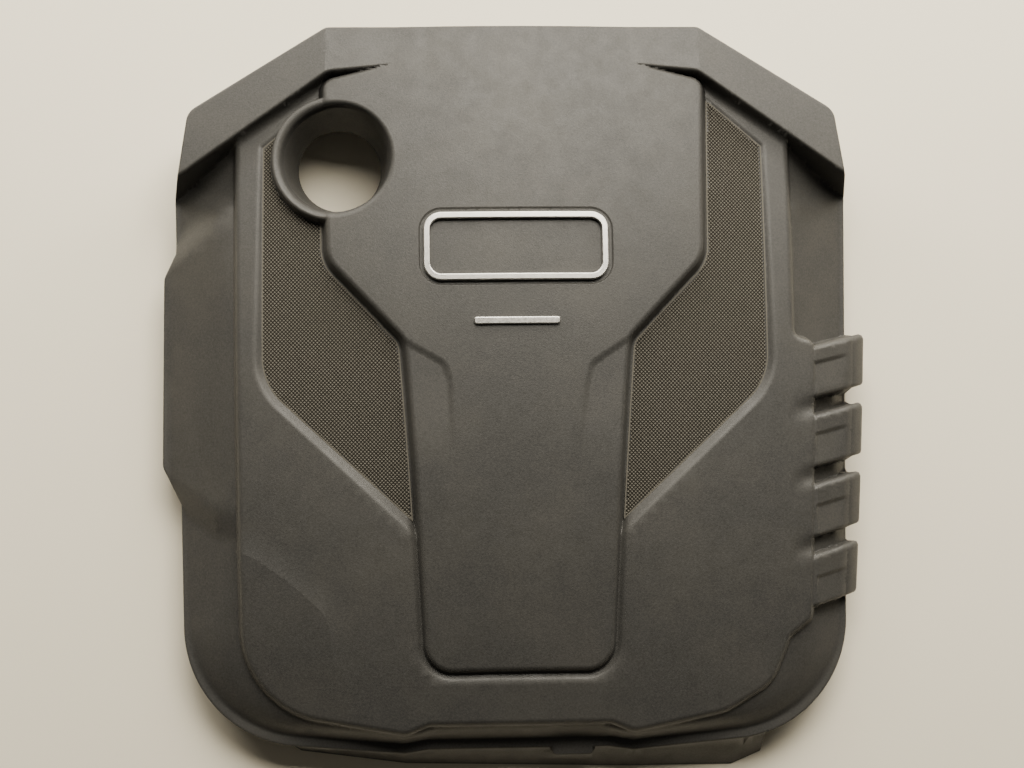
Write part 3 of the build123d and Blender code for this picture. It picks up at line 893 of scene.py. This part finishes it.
def open_edges(faces: Sequence[Sequence[int]]) -> list[tuple[int, int]]:
    """Edges that only one face uses.

    Args:
        faces: Faces as lists of vertex numbers.

    Returns:
        Edges in the direction their face uses them.
    """
    directed = [(face[i - 1], face[i]) for face in faces for i in (*range(1, len(face)), 0)]
    seen = Counter(frozenset(edge) for edge in directed)
    return [edge for edge in directed if seen[frozenset(edge)] == 1]


def new_piece(
    name: str,
    verts: np.ndarray,
    faces: Sequence[Sequence[int]],
    normals: np.ndarray | None = None,
    smooth: bool = True,
) -> bpy.types.Object:
    """Make a piece that rides on the cover.

    Args:
        name: Name of the piece.
        verts: Vertices in millimetres.
        faces: Faces as lists of vertex numbers.
        normals: Vertex normals, where they are known.
        smooth: Whether it is shaded smooth.

    Returns:
        The new object.
    """
    mesh = bpy.data.meshes.new(name)
    mesh.from_pydata((verts * MM).tolist(), [], faces)
    mesh.validate()
    if smooth:
        mesh.shade_smooth()
    if normals is not None:
        mesh.normals_split_custom_set_from_vertices(normals.tolist())
    piece = bpy.data.objects.new(name, mesh)
    bpy.context.scene.collection.objects.link(piece)
    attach(piece, BODY)
    return piece


class Nodes:
    """Short way to build a node material."""

    def __init__(self, name: str) -> None:
        """Start a material with a principled shader.

        Args:
            name: Name of the material.
        """
        self.material = bpy.data.materials.new(name)
        self.material.use_nodes = True
        self.tree = self.material.node_tree
        self.shader = self.tree.nodes["Principled BSDF"]
        self.place = self.add("ShaderNodeTexCoord").outputs["Object"]

    def add(self, kind: str, **values: object) -> bpy.types.Node:
        """Add a node.

        Args:
            kind: Node type.
            values: Properties and input values by name.

        Returns:
            The node.
        """
        node = self.tree.nodes.new(kind)
        for key, value in values.items():
            if hasattr(node, key):
                setattr(node, key, value)
            else:
                node.inputs[key.replace("_", " ")].default_value = value
        return node

    def link(self, source: Socket, target: Socket) -> None:
        """Join an output to an input."""
        self.tree.links.new(source, target)

    def feed(self, source: Socket, name: str) -> None:
        """Join an output to one of the shader's inputs."""
        self.link(source, self.shader.inputs[name])

    def constant(self, name: str, value: float) -> None:
        """Set a constant on one of the shader's inputs."""
        self.shader.inputs[name].default_value = value

    def noise(self, scale: float, detail: float = 4.0, roughness: float = 0.55) -> Socket:
        """Noise over the object.

        Args:
            scale: Features per metre.
            detail: Octaves.
            roughness: Strength of the fine octaves.

        Returns:
            The noise value.
        """
        node = self.add("ShaderNodeTexNoise", Scale=scale, Detail=detail, Roughness=roughness)
        self.link(self.place, node.inputs["Vector"])
        return node.outputs["Fac"]

    def ramp(self, source: Socket, stops: Sequence[tuple[float, Colour]]) -> Socket:
        """Map a value to a colour.

        Args:
            source: Value.
            stops: Places and colours of the two ends.

        Returns:
            The colour.
        """
        node = self.add("ShaderNodeValToRGB")
        for element, (place, colour) in zip(node.color_ramp.elements, stops):
            element.position = place
            element.color = (*colour, 1.0)
        self.link(source, node.inputs["Fac"])
        return node.outputs["Color"]

    def mix(self, share: Socket, first: Socket, second: Colour) -> Socket:
        """Blend a colour socket towards a colour.

        Args:
            share: How far.
            first: Colour at 0.
            second: Colour at 1.

        Returns:
            The blended colour.
        """
        node = self.add("ShaderNodeMix", data_type="RGBA")
        self.link(share, node.inputs["Factor"])
        self.link(first, node.inputs["A"])
        node.inputs["B"].default_value = (*second, 1.0)
        return node.outputs["Result"]

    def spread(self, source: Socket, low: float, high: float, between: Point = (0.3, 0.7)) -> Socket:
        """Map a value to a range.

        Args:
            source: Value.
            low: Result at the first limit.
            high: Result at the second limit.
            between: The two limits.

        Returns:
            The mapped value.
        """
        limits = {"From_Min": between[0], "From_Max": between[1]}
        node = self.add("ShaderNodeMapRange", **limits, To_Min=low, To_Max=high)
        self.link(source, node.inputs["Value"])
        return node.outputs["Result"]

    def bump(self, source: Socket, strength: float, distance: float) -> None:
        """Give the shader a bump.

        Args:
            source: Height.
            strength: Share of the bump.
            distance: Depth in metres.
        """
        node = self.add("ShaderNodeBump", Strength=strength, Distance=distance)
        self.link(source, node.inputs["Height"])
        self.feed(node.outputs["Normal"], "Normal")


@dataclass(frozen=True)
class Finish:
    """Finish that varies between two tones."""

    name: str
    dark: Colour
    light: Colour

    def material(self) -> bpy.types.Material:
        """Build the material.

        Returns:
            The material.
        """
        nodes = Nodes(self.name)
        self.paint(nodes)
        return nodes.material

    def paint(self, nodes: Nodes) -> None:
        """Lay out the nodes, which each finish does in its own way."""
        raise NotImplementedError

    def tones(self, nodes: Nodes, source: Socket, low: float, high: float) -> Socket:
        """Colour from the dark tone at the low value to the light tone at the high one."""
        return nodes.ramp(source, ((low, self.dark), (high, self.light)))


@dataclass(frozen=True)
class Plastic(Finish):
    """Grained moulded plastic with dust and worn edges."""

    dust: Colour
    wear: float = 0.2
    wear_edges: Point = (0.52, 0.64)

    def paint(self, nodes: Nodes) -> None:
        """Lay out grain, dust, worn edges and a fine bump.

        Args:
            nodes: Nodes of the material.
        """
        body = self.tones(nodes, nodes.noise(700.0, detail=6.0, roughness=0.75), 0.3, 0.7)
        dusty = nodes.spread(nodes.noise(16.0, detail=8.0, roughness=0.65), -0.06, 0.14)
        dusted = nodes.mix(dusty, body, self.dust)
        edges = nodes.add("ShaderNodeNewGeometry").outputs["Pointiness"]
        worn = nodes.spread(edges, 0.0, self.wear, self.wear_edges)
        nodes.feed(nodes.mix(worn, dusted, self.dust), "Base Color")
        nodes.feed(nodes.spread(nodes.noise(90.0), 0.45, 0.55), "Roughness")
        nodes.constant("Specular IOR Level", 0.42)
        nodes.bump(nodes.noise(1100.0, detail=3.0, roughness=0.6), strength=0.7, distance=0.00016)


@dataclass(frozen=True)
class DiamondPlastic(Finish):
    """Moulded plastic with painted shade in the gaps and a painted highlight on the crests of the diamonds.
    """

    dust: Colour

    def paint(self, nodes: Nodes) -> None:
        """Lay out painted shade in the gaps, a painted highlight on the crests, dust and a fine bump.

        Args:
            nodes: Nodes of the material.
        """
        rise = nodes.add("ShaderNodeAttribute", attribute_name=PAINTED_SHADING_LAYER).outputs["Fac"]
        # Painted shade in the gaps and painted highlight on the crests, read from the crest share
        body = self.tones(nodes, rise, 0.15, 0.6)
        dusty = nodes.spread(nodes.noise(14.0, detail=8.0, roughness=0.6), -0.05, 0.15)
        nodes.feed(nodes.mix(dusty, body, self.dust), "Base Color")
        nodes.feed(nodes.spread(nodes.noise(90.0), 0.5, 0.6), "Roughness")
        nodes.constant("Specular IOR Level", 0.02)
        nodes.bump(nodes.noise(1300.0, detail=3.0, roughness=0.6), strength=0.4, distance=0.00012)


@dataclass(frozen=True)
class Rubber(Finish):
    """Matt moulded rubber."""

    def paint(self, nodes: Nodes) -> None:
        """Lay out faint mottling and a fine bump.

        Args:
            nodes: Nodes of the material.
        """
        nodes.feed(self.tones(nodes, nodes.noise(160.0), 0.3, 0.75), "Base Color")
        nodes.feed(nodes.spread(nodes.noise(300.0), 0.7, 0.9), "Roughness")
        nodes.bump(nodes.noise(1200.0), strength=0.3, distance=0.0001)


@dataclass(frozen=True)
class Foam(Finish):
    """Open-cell foam with small pores."""

    def paint(self, nodes: Nodes) -> None:
        """Lay out pores.

        Args:
            nodes: Nodes of the material.
        """
        cells = nodes.add("ShaderNodeTexVoronoi", Scale=700.0)
        nodes.link(nodes.place, cells.inputs["Vector"])
        nodes.feed(self.tones(nodes, cells.outputs["Distance"], 0.05, 0.5), "Base Color")
        nodes.constant("Roughness", 0.95)
        nodes.bump(cells.outputs["Distance"], strength=0.8, distance=0.0008)


@dataclass(frozen=True)
class SatinMetal(Finish):
    """Satin plated trim."""

    def paint(self, nodes: Nodes) -> None:
        """Lay out faint mottling and a satin gloss.

        Args:
            nodes: Nodes of the material.
        """
        nodes.feed(self.tones(nodes, nodes.noise(120.0), 0.3, 0.7), "Base Color")
        nodes.constant("Metallic", 1.0)
        nodes.feed(nodes.spread(nodes.noise(500.0), 0.3, 0.42), "Roughness")
        nodes.bump(nodes.noise(1500.0), strength=0.1, distance=0.00003)


@dataclass(frozen=True)
class Backdrop(Finish):
    """Plain pale floor."""

    def paint(self, nodes: Nodes) -> None:
        """Lay out a faint tint.

        Args:
            nodes: Nodes of the material.
        """
        nodes.feed(self.tones(nodes, nodes.noise(3.0), 0.3, 0.7), "Base Color")
        nodes.constant("Roughness", 0.8)


SHELL = Plastic("shell_plastic", (0.028, 0.0275, 0.026), (0.062, 0.0605, 0.057), (0.13, 0.12, 0.1))
# Dark tone is painted shade for the diamonds' gaps, light tone a painted highlight for their crests; the
# dust tone is real dust
TEXTURED = DiamondPlastic(
    "panel_plastic", (0.014, 0.013, 0.011), (0.14, 0.131, 0.111), (0.05, 0.046, 0.038)
)
MOUNT_RUBBER = Rubber("mount_rubber", (0.018, 0.018, 0.019), (0.035, 0.034, 0.034))
PAD_FOAM = Foam("pad_foam", (0.015, 0.015, 0.016), (0.07, 0.07, 0.075))
TRIM_METAL = SatinMetal("trim_metal", (0.5, 0.49, 0.47), (0.58, 0.57, 0.54))
FLOOR = Backdrop("floor_paint", (0.9, 0.83, 0.67), (0.93, 0.86, 0.7))


def dress(piece: bpy.types.Object, material: bpy.types.Material) -> None:
    """Give a piece its material.

    Args:
        piece: The piece.
        material: Its material.
    """
    piece.data.materials.clear()
    piece.data.materials.append(material)


@dataclass
class CoverSkin:
    """Show side of the cover: face, skirt walls and funnel."""

    face: ShowFace
    piece: bpy.types.Object | None = None

    def loose_points(self) -> np.ndarray:
        """Points along every edge of the face, and a grid between.

        Returns:
            Places in plan.
        """
        collar = (38.0, 38.7, 39.5, 40.4, 41.4, 42.2, 43.0, 43.6, 44.2, 45.0, 46.4)
        plateau = (-7.0, -5.5, -4.2, -3.2, -2.4, -1.7, -1.0, -0.4, 0.2, 0.8, 1.5, 2.2, 3.0, 4.2)
        brow_foot = (-8.6, -7.0, -5.6, -4.4, -3.5, -2.8, -2.2, -1.6, -1.0, -0.5)
        brow = (*brow_foot, 0.0, 0.4, 0.9, 1.6, 2.4, 3.4, 4.6)
        field = (-4.0, -2.6, -1.6, -0.8, 0.0, 0.8, 1.6, 2.4, 3.2, 4.2, 5.4)
        panel = (-7.0, -5.0, -3.6, -2.4, -1.4, -0.6, 0.2, 1.2, 2.4)
        fin = (-5.0, -3.8, -2.8, -2.0, -1.3, -0.6, 0.4, 0.9, 1.5, 2.3, 3.4)
        rim = (0.5, 1.0, 1.6, 2.6)
        corner = (-18.0, -12.0, -8.0, -5.0, -2.8, -1.2, -0.3, 0.4, 1.6, 4.0)
        recess = (-0.6, -0.2, 0.2, 0.6, 1.1)
        apron = (1.0, 2.5)
        tab = (0.5, 1.0, 1.6)
        foot = (-1.5, -0.6, 0.2, 1.2, 2.6, 5.0)
        spine = (-4.5, -3.0, -1.5, 0.0, 1.5)
        shoulder = grid((184.0, 216.0), (28.0, 48.0), 0.9)
        wedge = grid((78.0, 134.0), (206.0, 234.0), 0.9)
        pad = grid((182.0, REACH), (-172.0, 46.0), 2.3)
        between = grid((-REACH, REACH), (FRONT_Y, REAR_Y), GRID) + (0.3, 0.2)
        dash_steps = np.arange(-2.8, 3.0, 0.7)
        dash_runs = np.arange(-1.5, DASH_LENGTH, 1.5)
        dashes = [
            (PAD_HALF + run, FIN_FIRST_Y - index * FIN_PITCH - inset + FIN_SLANT * run)
            for index in range(FIN_COUNT)
            for inset in DASH_INSET + DASH_SHIFT * index + dash_steps
            for run in dash_runs
        ]
        return np.vstack((
            *(circle(FUNNEL, radius, MOUTH_POINTS) for radius in collar),
            np.array(dashes),
            shoulder,
            wedge,
            wedge * (-1.0, 1.0),
            PLATEAU.strips(plateau, self.face.plateau_shift),
            BROW.strips(brow),
            FIELD.strips(field),
            *(outline.strips(panel) for outline in PANELS.values()),
            *(outline.strips(fin) for outline in FINS),
            pad,
            RECESS.strips(recess),
            RIM.strips(rim),
            BULGE.strips(rim),
            APRON.strips(apron),
            TAB.strips(tab),
            FLANGE_FOOT.strips(foot),
            SPINE.strips(spine),
            HIGH_CORNER.strips(corner),
            between,
        ))

    def build(self) -> bpy.types.Object:
        """Make the skin's mesh.

        Returns:
            The skin.
        """
        loops = [outline.dense() for outline in FOOTPRINT]
        lean = radians(90.0 - CONE_DRAFT)
        mouth = MOUTH_RADIUS - LIP_RADIUS * tan(lean / 2) * cos(lean)
        hole = circle(FUNNEL, mouth, MOUTH_POINTS)
        loose = thinned(np.vstack((*loops, hole, self.loose_points())), CLOSEST)
        inside = np.max([outline.inside(loose) for outline in FOOTPRINT], axis=0)
        loose = loose[(inside > CLOSEST) & (from_funnel(loose) > mouth + CLOSEST)]
        plan, faces = triangulate(loose, loops, hole)
        verts = np.column_stack((plan, self.face.height(plan)))
        self.piece = self.close(verts, self.face.normals(plan), faces, mouth)
        return self.piece

    @staticmethod
    def close(
        verts: np.ndarray, normals: np.ndarray, faces: list[list[int]], mouth: float
    ) -> bpy.types.Object:
        """Add the skirt walls and the funnel's cone.

        Args:
            verts: Vertices of the face.
            normals: Their normals.
            faces: Triangles of the face.
            mouth: Radius of the open funnel mouth.

        Returns:
            The finished skin.
        """
        edges = open_edges(faces)
        out = from_funnel(verts)
        side = np.zeros((len(verts), 3))
        for first, second in edges:
            run = verts[second] - verts[first]
            away = np.array((run[1], -run[0], 0.0))
            away /= max(np.linalg.norm(away), TINY)
            side[first] += away
            side[second] += away
        rows = [verts]
        shades = [normals]
        below: dict[int, tuple[int, int]] = {}
        count = len(verts)
        for index in sorted({number for edge in edges for number in edge}):
            x, y, z = verts[index]
            away = side[index] / max(np.linalg.norm(side[index]), TINY)
            ring = [(x, y, max(z - WALL_TURN, z / 2)), (x, y, 0.0)]
            if out[index] < mouth + CLOSEST:
                steps = (max(z - CONE_TURN, FUNNEL_FOOT), FUNNEL_FOOT)
                spoke = np.array((x - FUNNEL[0], y - FUNNEL[1])) / out[index]
                ring = [(*(np.array(FUNNEL) + spoke * funnel_radius(step)), step) for step in steps]
                away = np.array((-spoke[0], -spoke[1], sin(radians(CONE_DRAFT))))
            rows.append(np.array(ring))
            shades.append(np.array((away, away)))
            below[index] = (count, count + 1)
            count += 2
        for first, second in edges:
            top = (first, second)
            for low in zip(below[first], below[second]):
                faces.append([top[1], top[0], low[0], low[1]])
                top = low
        return new_piece("cover_skin", np.vstack(rows), faces, np.vstack(shades))

    def dress(self) -> None:
        """Give the skin its plastic and let it stand for the CAD shell."""
        dress(self.piece, SHELL.material())
        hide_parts("cover_shell")


@dataclass
class Underside:
    """Hidden side of the cover: inner wall, ribs, brackets and the funnel's tube."""

    ray_start: float = 0.05
    sharp_angle: float = 25.0
    piece: bpy.types.Object | None = None

    def build(self) -> bpy.types.Object:
        """Copy the CAD faces that the cover itself roofs over.

        Returns:
            The underside.
        """
        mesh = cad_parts["cover_shell"].data
        places = [vertex.co for vertex in mesh.vertices]
        tree = BVHTree.FromPolygons(places, [list(face.vertices) for face in mesh.polygons])
        up = Vector((0.0, 0.0, 1.0))
        roofed = [
            list(face.vertices)
            for face in mesh.polygons
            if tree.ray_cast(face.center + face.normal * self.ray_start * MM, up)[0] is not None
        ]
        verts, faces = compact(np.array(places) / MM, roofed)
        self.piece = new_piece("cover_underside", verts, faces)
        self.piece.data.set_sharp_from_angle(angle=radians(self.sharp_angle))
        return self.piece

    def dress(self) -> None:
        """Give the underside its plastic."""
        dress(self.piece, SHELL.material())
        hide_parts("cover_shell")


@dataclass
class TexturedPanel:
    """Fine raised diamonds on one panel's floor, inside a plain border with a painted highlight."""

    face: ShowFace
    side: Side
    pitch: Point = (2.5, 2.57)
    rise: float = 0.6
    lift: float = 0.06
    border: float = 0.9
    border_crest_and_highlight: float = 0.55
    border_overlap: float = 0.4
    diamond_overlap: float = 0.2
    wall_foot: float = 4.6
    piece: bpy.types.Object | None = None

    def build(self) -> bpy.types.Object:
        """Make the sheet of diamonds and its border.

        Returns:
            The sheet.
        """
        places, crest, faces = self.diamonds()
        panel = PANELS[self.side].strips((0.0, self.border))
        wall = PLATEAU.strips((-self.wall_foot, -self.wall_foot - self.border), self.face.plateau_shift)
        for line in (panel, wall):
            clear = self.clear(line, self.border_overlap)
            count = len(line) // 2
            first = len(places)
            quads = [(i, (i + 1) % count, (i + 1) % count + count, i + count) for i in range(count)]
            faces += [[first + i for i in quad] for quad in quads if clear[list(quad)].all()]
            places = np.vstack((places, line))
            # The border's share lifts it and paints it light: a painted highlight along the panel's edge
            crest = np.concatenate((crest, np.full(len(line), self.border_crest_and_highlight)))
        heights = dome(places, PANEL_DROP, PANEL_TILT) + self.lift + (self.rise - self.lift) * crest
        rows, faces = compact(np.column_stack((places, heights, crest)), faces)
        name = f"textured_panel_{self.side.name.lower()}"
        self.piece = new_piece(name, rows[:, :3], faces, smooth=False)
        # This layer carries the painted shade in the gaps and the painted highlight on the crests and
        # border
        layer = self.piece.data.attributes.new(PAINTED_SHADING_LAYER, "FLOAT", "POINT")
        layer.data.foreach_set("value", rows[:, 3].copy())
        return self.piece

    def clear(self, places: np.ndarray, overlap: float) -> np.ndarray:
        """Find places on the bare floor.

        Args:
            places: Places in plan.
            overlap: How far past the floor's edges still counts.

        Returns:
            Whether each place is clear.
        """
        return (
            (PANELS[self.side].inside(places) > -overlap)
            & (self.face.plateau_inside(places) < overlap - self.wall_foot)
            & (from_funnel(places) > COLLAR_RADIUS - overlap)
            & (BROW.inside(places) < overlap)
        )

    def diamonds(self) -> tuple[np.ndarray, np.ndarray, list[list[int]]]:
        """Lay out the diamonds.

        Returns:
            Places in plan, the share of the rise at each, and faces.
        """
        corners = np.array(PANELS[self.side].corners)
        low = corners.min(0)
        counts = np.ceil((corners.max(0) - low) / np.array(self.pitch) * 2).astype(int)
        columns, rows = np.meshgrid(np.arange(counts[0]), np.arange(counts[1]), indexing="ij")
        places = np.column_stack((columns.ravel(), rows.ravel())) * np.array(self.pitch) / 2 + low
        peak = ((columns + rows) % 2 == 1).ravel()
        clear = self.clear(places, self.diamond_overlap)
        faces: list[list[int]] = []
        for column in range(1, counts[0] - 1):
            for row in range(1, counts[1] - 1):
                centre = column * counts[1] + row
                ring = (centre + counts[1], centre + 1, centre - counts[1], centre - 1)
                if peak[centre] and clear[[centre, *ring]].all():
                    faces.extend([centre, ring[i - 1], ring[i]] for i in (1, 2, 3, 0))
        return places, peak.astype(float), faces

    def dress(self) -> None:
        """Give the panel its plastic."""
        dress(self.piece, TEXTURED.material())


@dataclass
class FoamPad:
    """Acoustic foam under the plateau, with soft crowned edges."""

    top_drop: float = 3.1
    thickness: float = 12.0
    edge_share: float = 0.25
    crown: float = 9.0
    inset: float = 8.8
    notch: float = 49.1
    pin_room: float = 4.7
    dimple: float = 0.9
    dimple_pitch: float = 24.0
    spacing: float = 3.5
    closest: float = 1.0
    levels: tuple[float, ...] = (0.0, 0.4, 1.2, 2.6, 4.6, 7.0)
    notch_points: int = 120
    pin_points: int = 40
    sharp_angle: float = 60.0
    piece: bpy.types.Object | None = None

    def build(self) -> bpy.types.Object:
        """Make the pad.

        Returns:
            The pad.
        """
        places = grid((-REACH, REACH), (-REACH, REACH), self.spacing)
        places = places[self.room(places) > self.closest]
        points = thinned(np.vstack((*map(self.trace, self.levels), places)), self.closest)
        flat, _, triangles, _, _, _ = delaunay_2d_cdt([Vector(p) for p in points], [], [], 0, MERGE)
        plan = np.array(flat)
        middles = np.array([plan[list(face)].mean(0) for face in triangles])
        kept = [face for face, room in zip(triangles, self.room(middles)) if room > 0.0]
        plan, faces = compact(plan, kept)
        share = np.clip(np.maximum(self.room(plan), 0.0) / self.crown, 0.0, 1.0)
        round_share = np.sqrt(1.0 - (1.0 - share) ** 2)
        fall = self.thickness * (self.edge_share + (1.0 - self.edge_share) * round_share)
        roof = dome(plan, self.top_drop)
        waves = np.sin(plan * pi / self.dimple_pitch) ** 2
        floor = roof - fall + self.dimple * waves[:, 0] * waves[:, 1] * share
        count = len(plan)
        under = [[i + count for i in reversed(face)] for face in faces]
        sides = [[b, a, a + count, b + count] for a, b in open_edges(faces)]
        verts = np.vstack((np.column_stack((plan, roof)), np.column_stack((plan, floor))))
        self.piece = new_piece("foam_pad", verts, faces + under + sides)
        self.piece.data.set_sharp_from_angle(angle=radians(self.sharp_angle))
        return self.piece

    def room(self, places: np.ndarray) -> np.ndarray:
        """Distance inside the pad.

        Args:
            places: Places in plan.

        Returns:
            Distance to the pad's nearest edge.
        """
        room = HEAD.inside(places) - self.inset
        across = places[:, 0] - FUNNEL[0]
        behind = places[:, 1] > FUNNEL[1]
        room = np.minimum(room, np.where(behind, across, from_funnel(places)) - self.notch)
        for x, y in PIN_PLACES:
            room = np.minimum(room, np.hypot(places[:, 0] - x, places[:, 1] - y) - self.pin_room)
        return room

    def trace(self, level: float) -> np.ndarray:
        """Points on the pad at a distance from its edge.

        Args:
            level: Distance from the edge.

        Returns:
            Places in plan.
        """
        along = np.arange(FUNNEL[1], REAR_Y, ALONG)
        edge = np.column_stack((np.full(len(along), FUNNEL[0] + self.notch + level), along))
        notch = circle(FUNNEL, self.notch + level, self.notch_points)
        pins = [circle(place, self.pin_room + level, self.pin_points) for place in PIN_PLACES]
        points = np.vstack((HEAD.strips((self.inset + level,)), notch, edge, *pins))
        return points[self.room(points) > level - SLOPE_PROBE]

    def dress(self) -> None:
        dress(self.piece, PAD_FOAM.material())
        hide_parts("acoustic_foam")


@dataclass
class CadPieces:
    """CAD nodes that stay as they are and only get a finish."""

    prefix: str
    material: bpy.types.Material
    slot: str

    def build(self) -> list[bpy.types.Object]:
        """Find the nodes whose names start with the prefix."""
        return [node for name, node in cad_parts.items() if name.startswith(self.prefix)]

    def dress(self) -> None:
        """Give the nodes their finish."""
        for node in self.build():
            dress(node, self.material)


@dataclass(frozen=True)
class SoftLight:
    """Soft rectangular light, with its power in watts."""

    name: str
    place: tuple[float, float, float]
    size: Point
    power: float


LIGHTS = (
    SoftLight("rear", place=(120.0, 780.0, 1150.0), size=(900.0, 600.0), power=27.0),
    SoftLight("sky", place=(150.0, 1500.0, 800.0), size=(3200.0, 1200.0), power=60.0),
    SoftLight("flank_left", place=(-1000.0, 1100.0, 400.0), size=(500.0, 400.0), power=8.0),
    SoftLight("flank_right", place=(1000.0, 1100.0, 400.0), size=(500.0, 400.0), power=8.0),
)


@dataclass
class Studio:
    """Floor, light and camera."""

    target: tuple[float, float, float] = (-3.3, 9.6, 70.0)
    distance: float = 1020.0
    yaw: float = -2.13
    lean: float = 5.0
    roll: float = -0.75
    lens: float = 53.5
    sensor: float = 36.0
    floor_half: float = 20000.0
    tint: Colour = (1.0, 0.94, 0.82)
    sky_strength: float = 0.06

    def build(self) -> None:
        """Set up the studio."""
        self.floor()
        for light in LIGHTS:
            self.hang(light)
        world = bpy.data.worlds.new("studio")
        world.use_nodes = True
        background = world.node_tree.nodes["Background"]
        background.inputs["Color"].default_value = (*self.tint, 1.0)
        background.inputs["Strength"].default_value = self.sky_strength
        bpy.context.scene.world = world
        self.camera()

    def floor(self) -> None:
        """Lay a plain pale floor."""
        turns = ((-1, -1, 0), (1, -1, 0), (1, 1, 0), (-1, 1, 0))
        mesh = bpy.data.meshes.new("floor")
        mesh.from_pydata((np.array(turns) * self.floor_half * MM).tolist(), [], [[0, 1, 2, 3]])
        mesh.materials.append(FLOOR.material())
        floor = bpy.data.objects.new("floor", mesh)
        bpy.context.scene.collection.objects.link(floor)

    def hang(self, light: SoftLight) -> None:
        """Hang a light so that it faces the cover.

        Args:
            light: The light.
        """
        data = bpy.data.lights.new(light.name, "AREA")
        data.shape = "RECTANGLE"
        data.size, data.size_y = (side * MM for side in light.size)
        data.energy = light.power
        data.color = self.tint
        lamp = bpy.data.objects.new(light.name, data)
        lamp.location = Vector(light.place) * MM
        aim = Vector(self.target) * MM - lamp.location
        lamp.rotation_euler = aim.to_track_quat("-Z", "Y").to_euler()
        bpy.context.scene.collection.objects.link(lamp)

    def camera(self) -> None:
        """Place the camera at the photograph's angle."""
        yaw, lean, roll = radians(self.yaw), radians(self.lean), radians(self.roll)
        back = Vector((sin(yaw) * cos(lean), -sin(lean), cos(yaw) * cos(lean)))
        right = Vector((0.0, 1.0, 0.0)).cross(back).normalized()
        up = back.cross(right)
        turned = right * cos(roll) + up * sin(roll)
        upright = up * cos(roll) - right * sin(roll)
        data = bpy.data.cameras.new("camera")
        data.lens = self.lens
        data.sensor_width = self.sensor
        camera = bpy.data.objects.new("camera", data)
        place = (Vector(self.target) + back * self.distance) * MM
        axes = Matrix((turned, upright, back)).transposed().to_4x4()
        camera.matrix_world = Matrix.Translation(place) @ axes
        bpy.context.scene.collection.objects.link(camera)
        bpy.context.scene.camera = camera


def main() -> None:
    """Build and dress every piece, then the studio."""
    logging.basicConfig(level=logging.INFO, format="%(message)s")
    face = ShowFace()
    panels = [TexturedPanel(face, side) for side in Side]
    for part in (CoverSkin(face), Underside(), *panels, FoamPad()):
        piece = part.build()
        part.dress()
        LOG.info("%s: %d faces", piece.name, len(piece.data.polygons))
    rubber = MOUNT_RUBBER.material()
    metal = TRIM_METAL.material()
    for pieces in (CadPieces("mount_", rubber, "mount"), CadPieces("trim_", metal, "trim")):
        pieces.dress()
        LOG.info("%s nodes dressed: %d", pieces.prefix, len(pieces.build()))
    Studio().build()


if __name__ == "__main__":
    main()
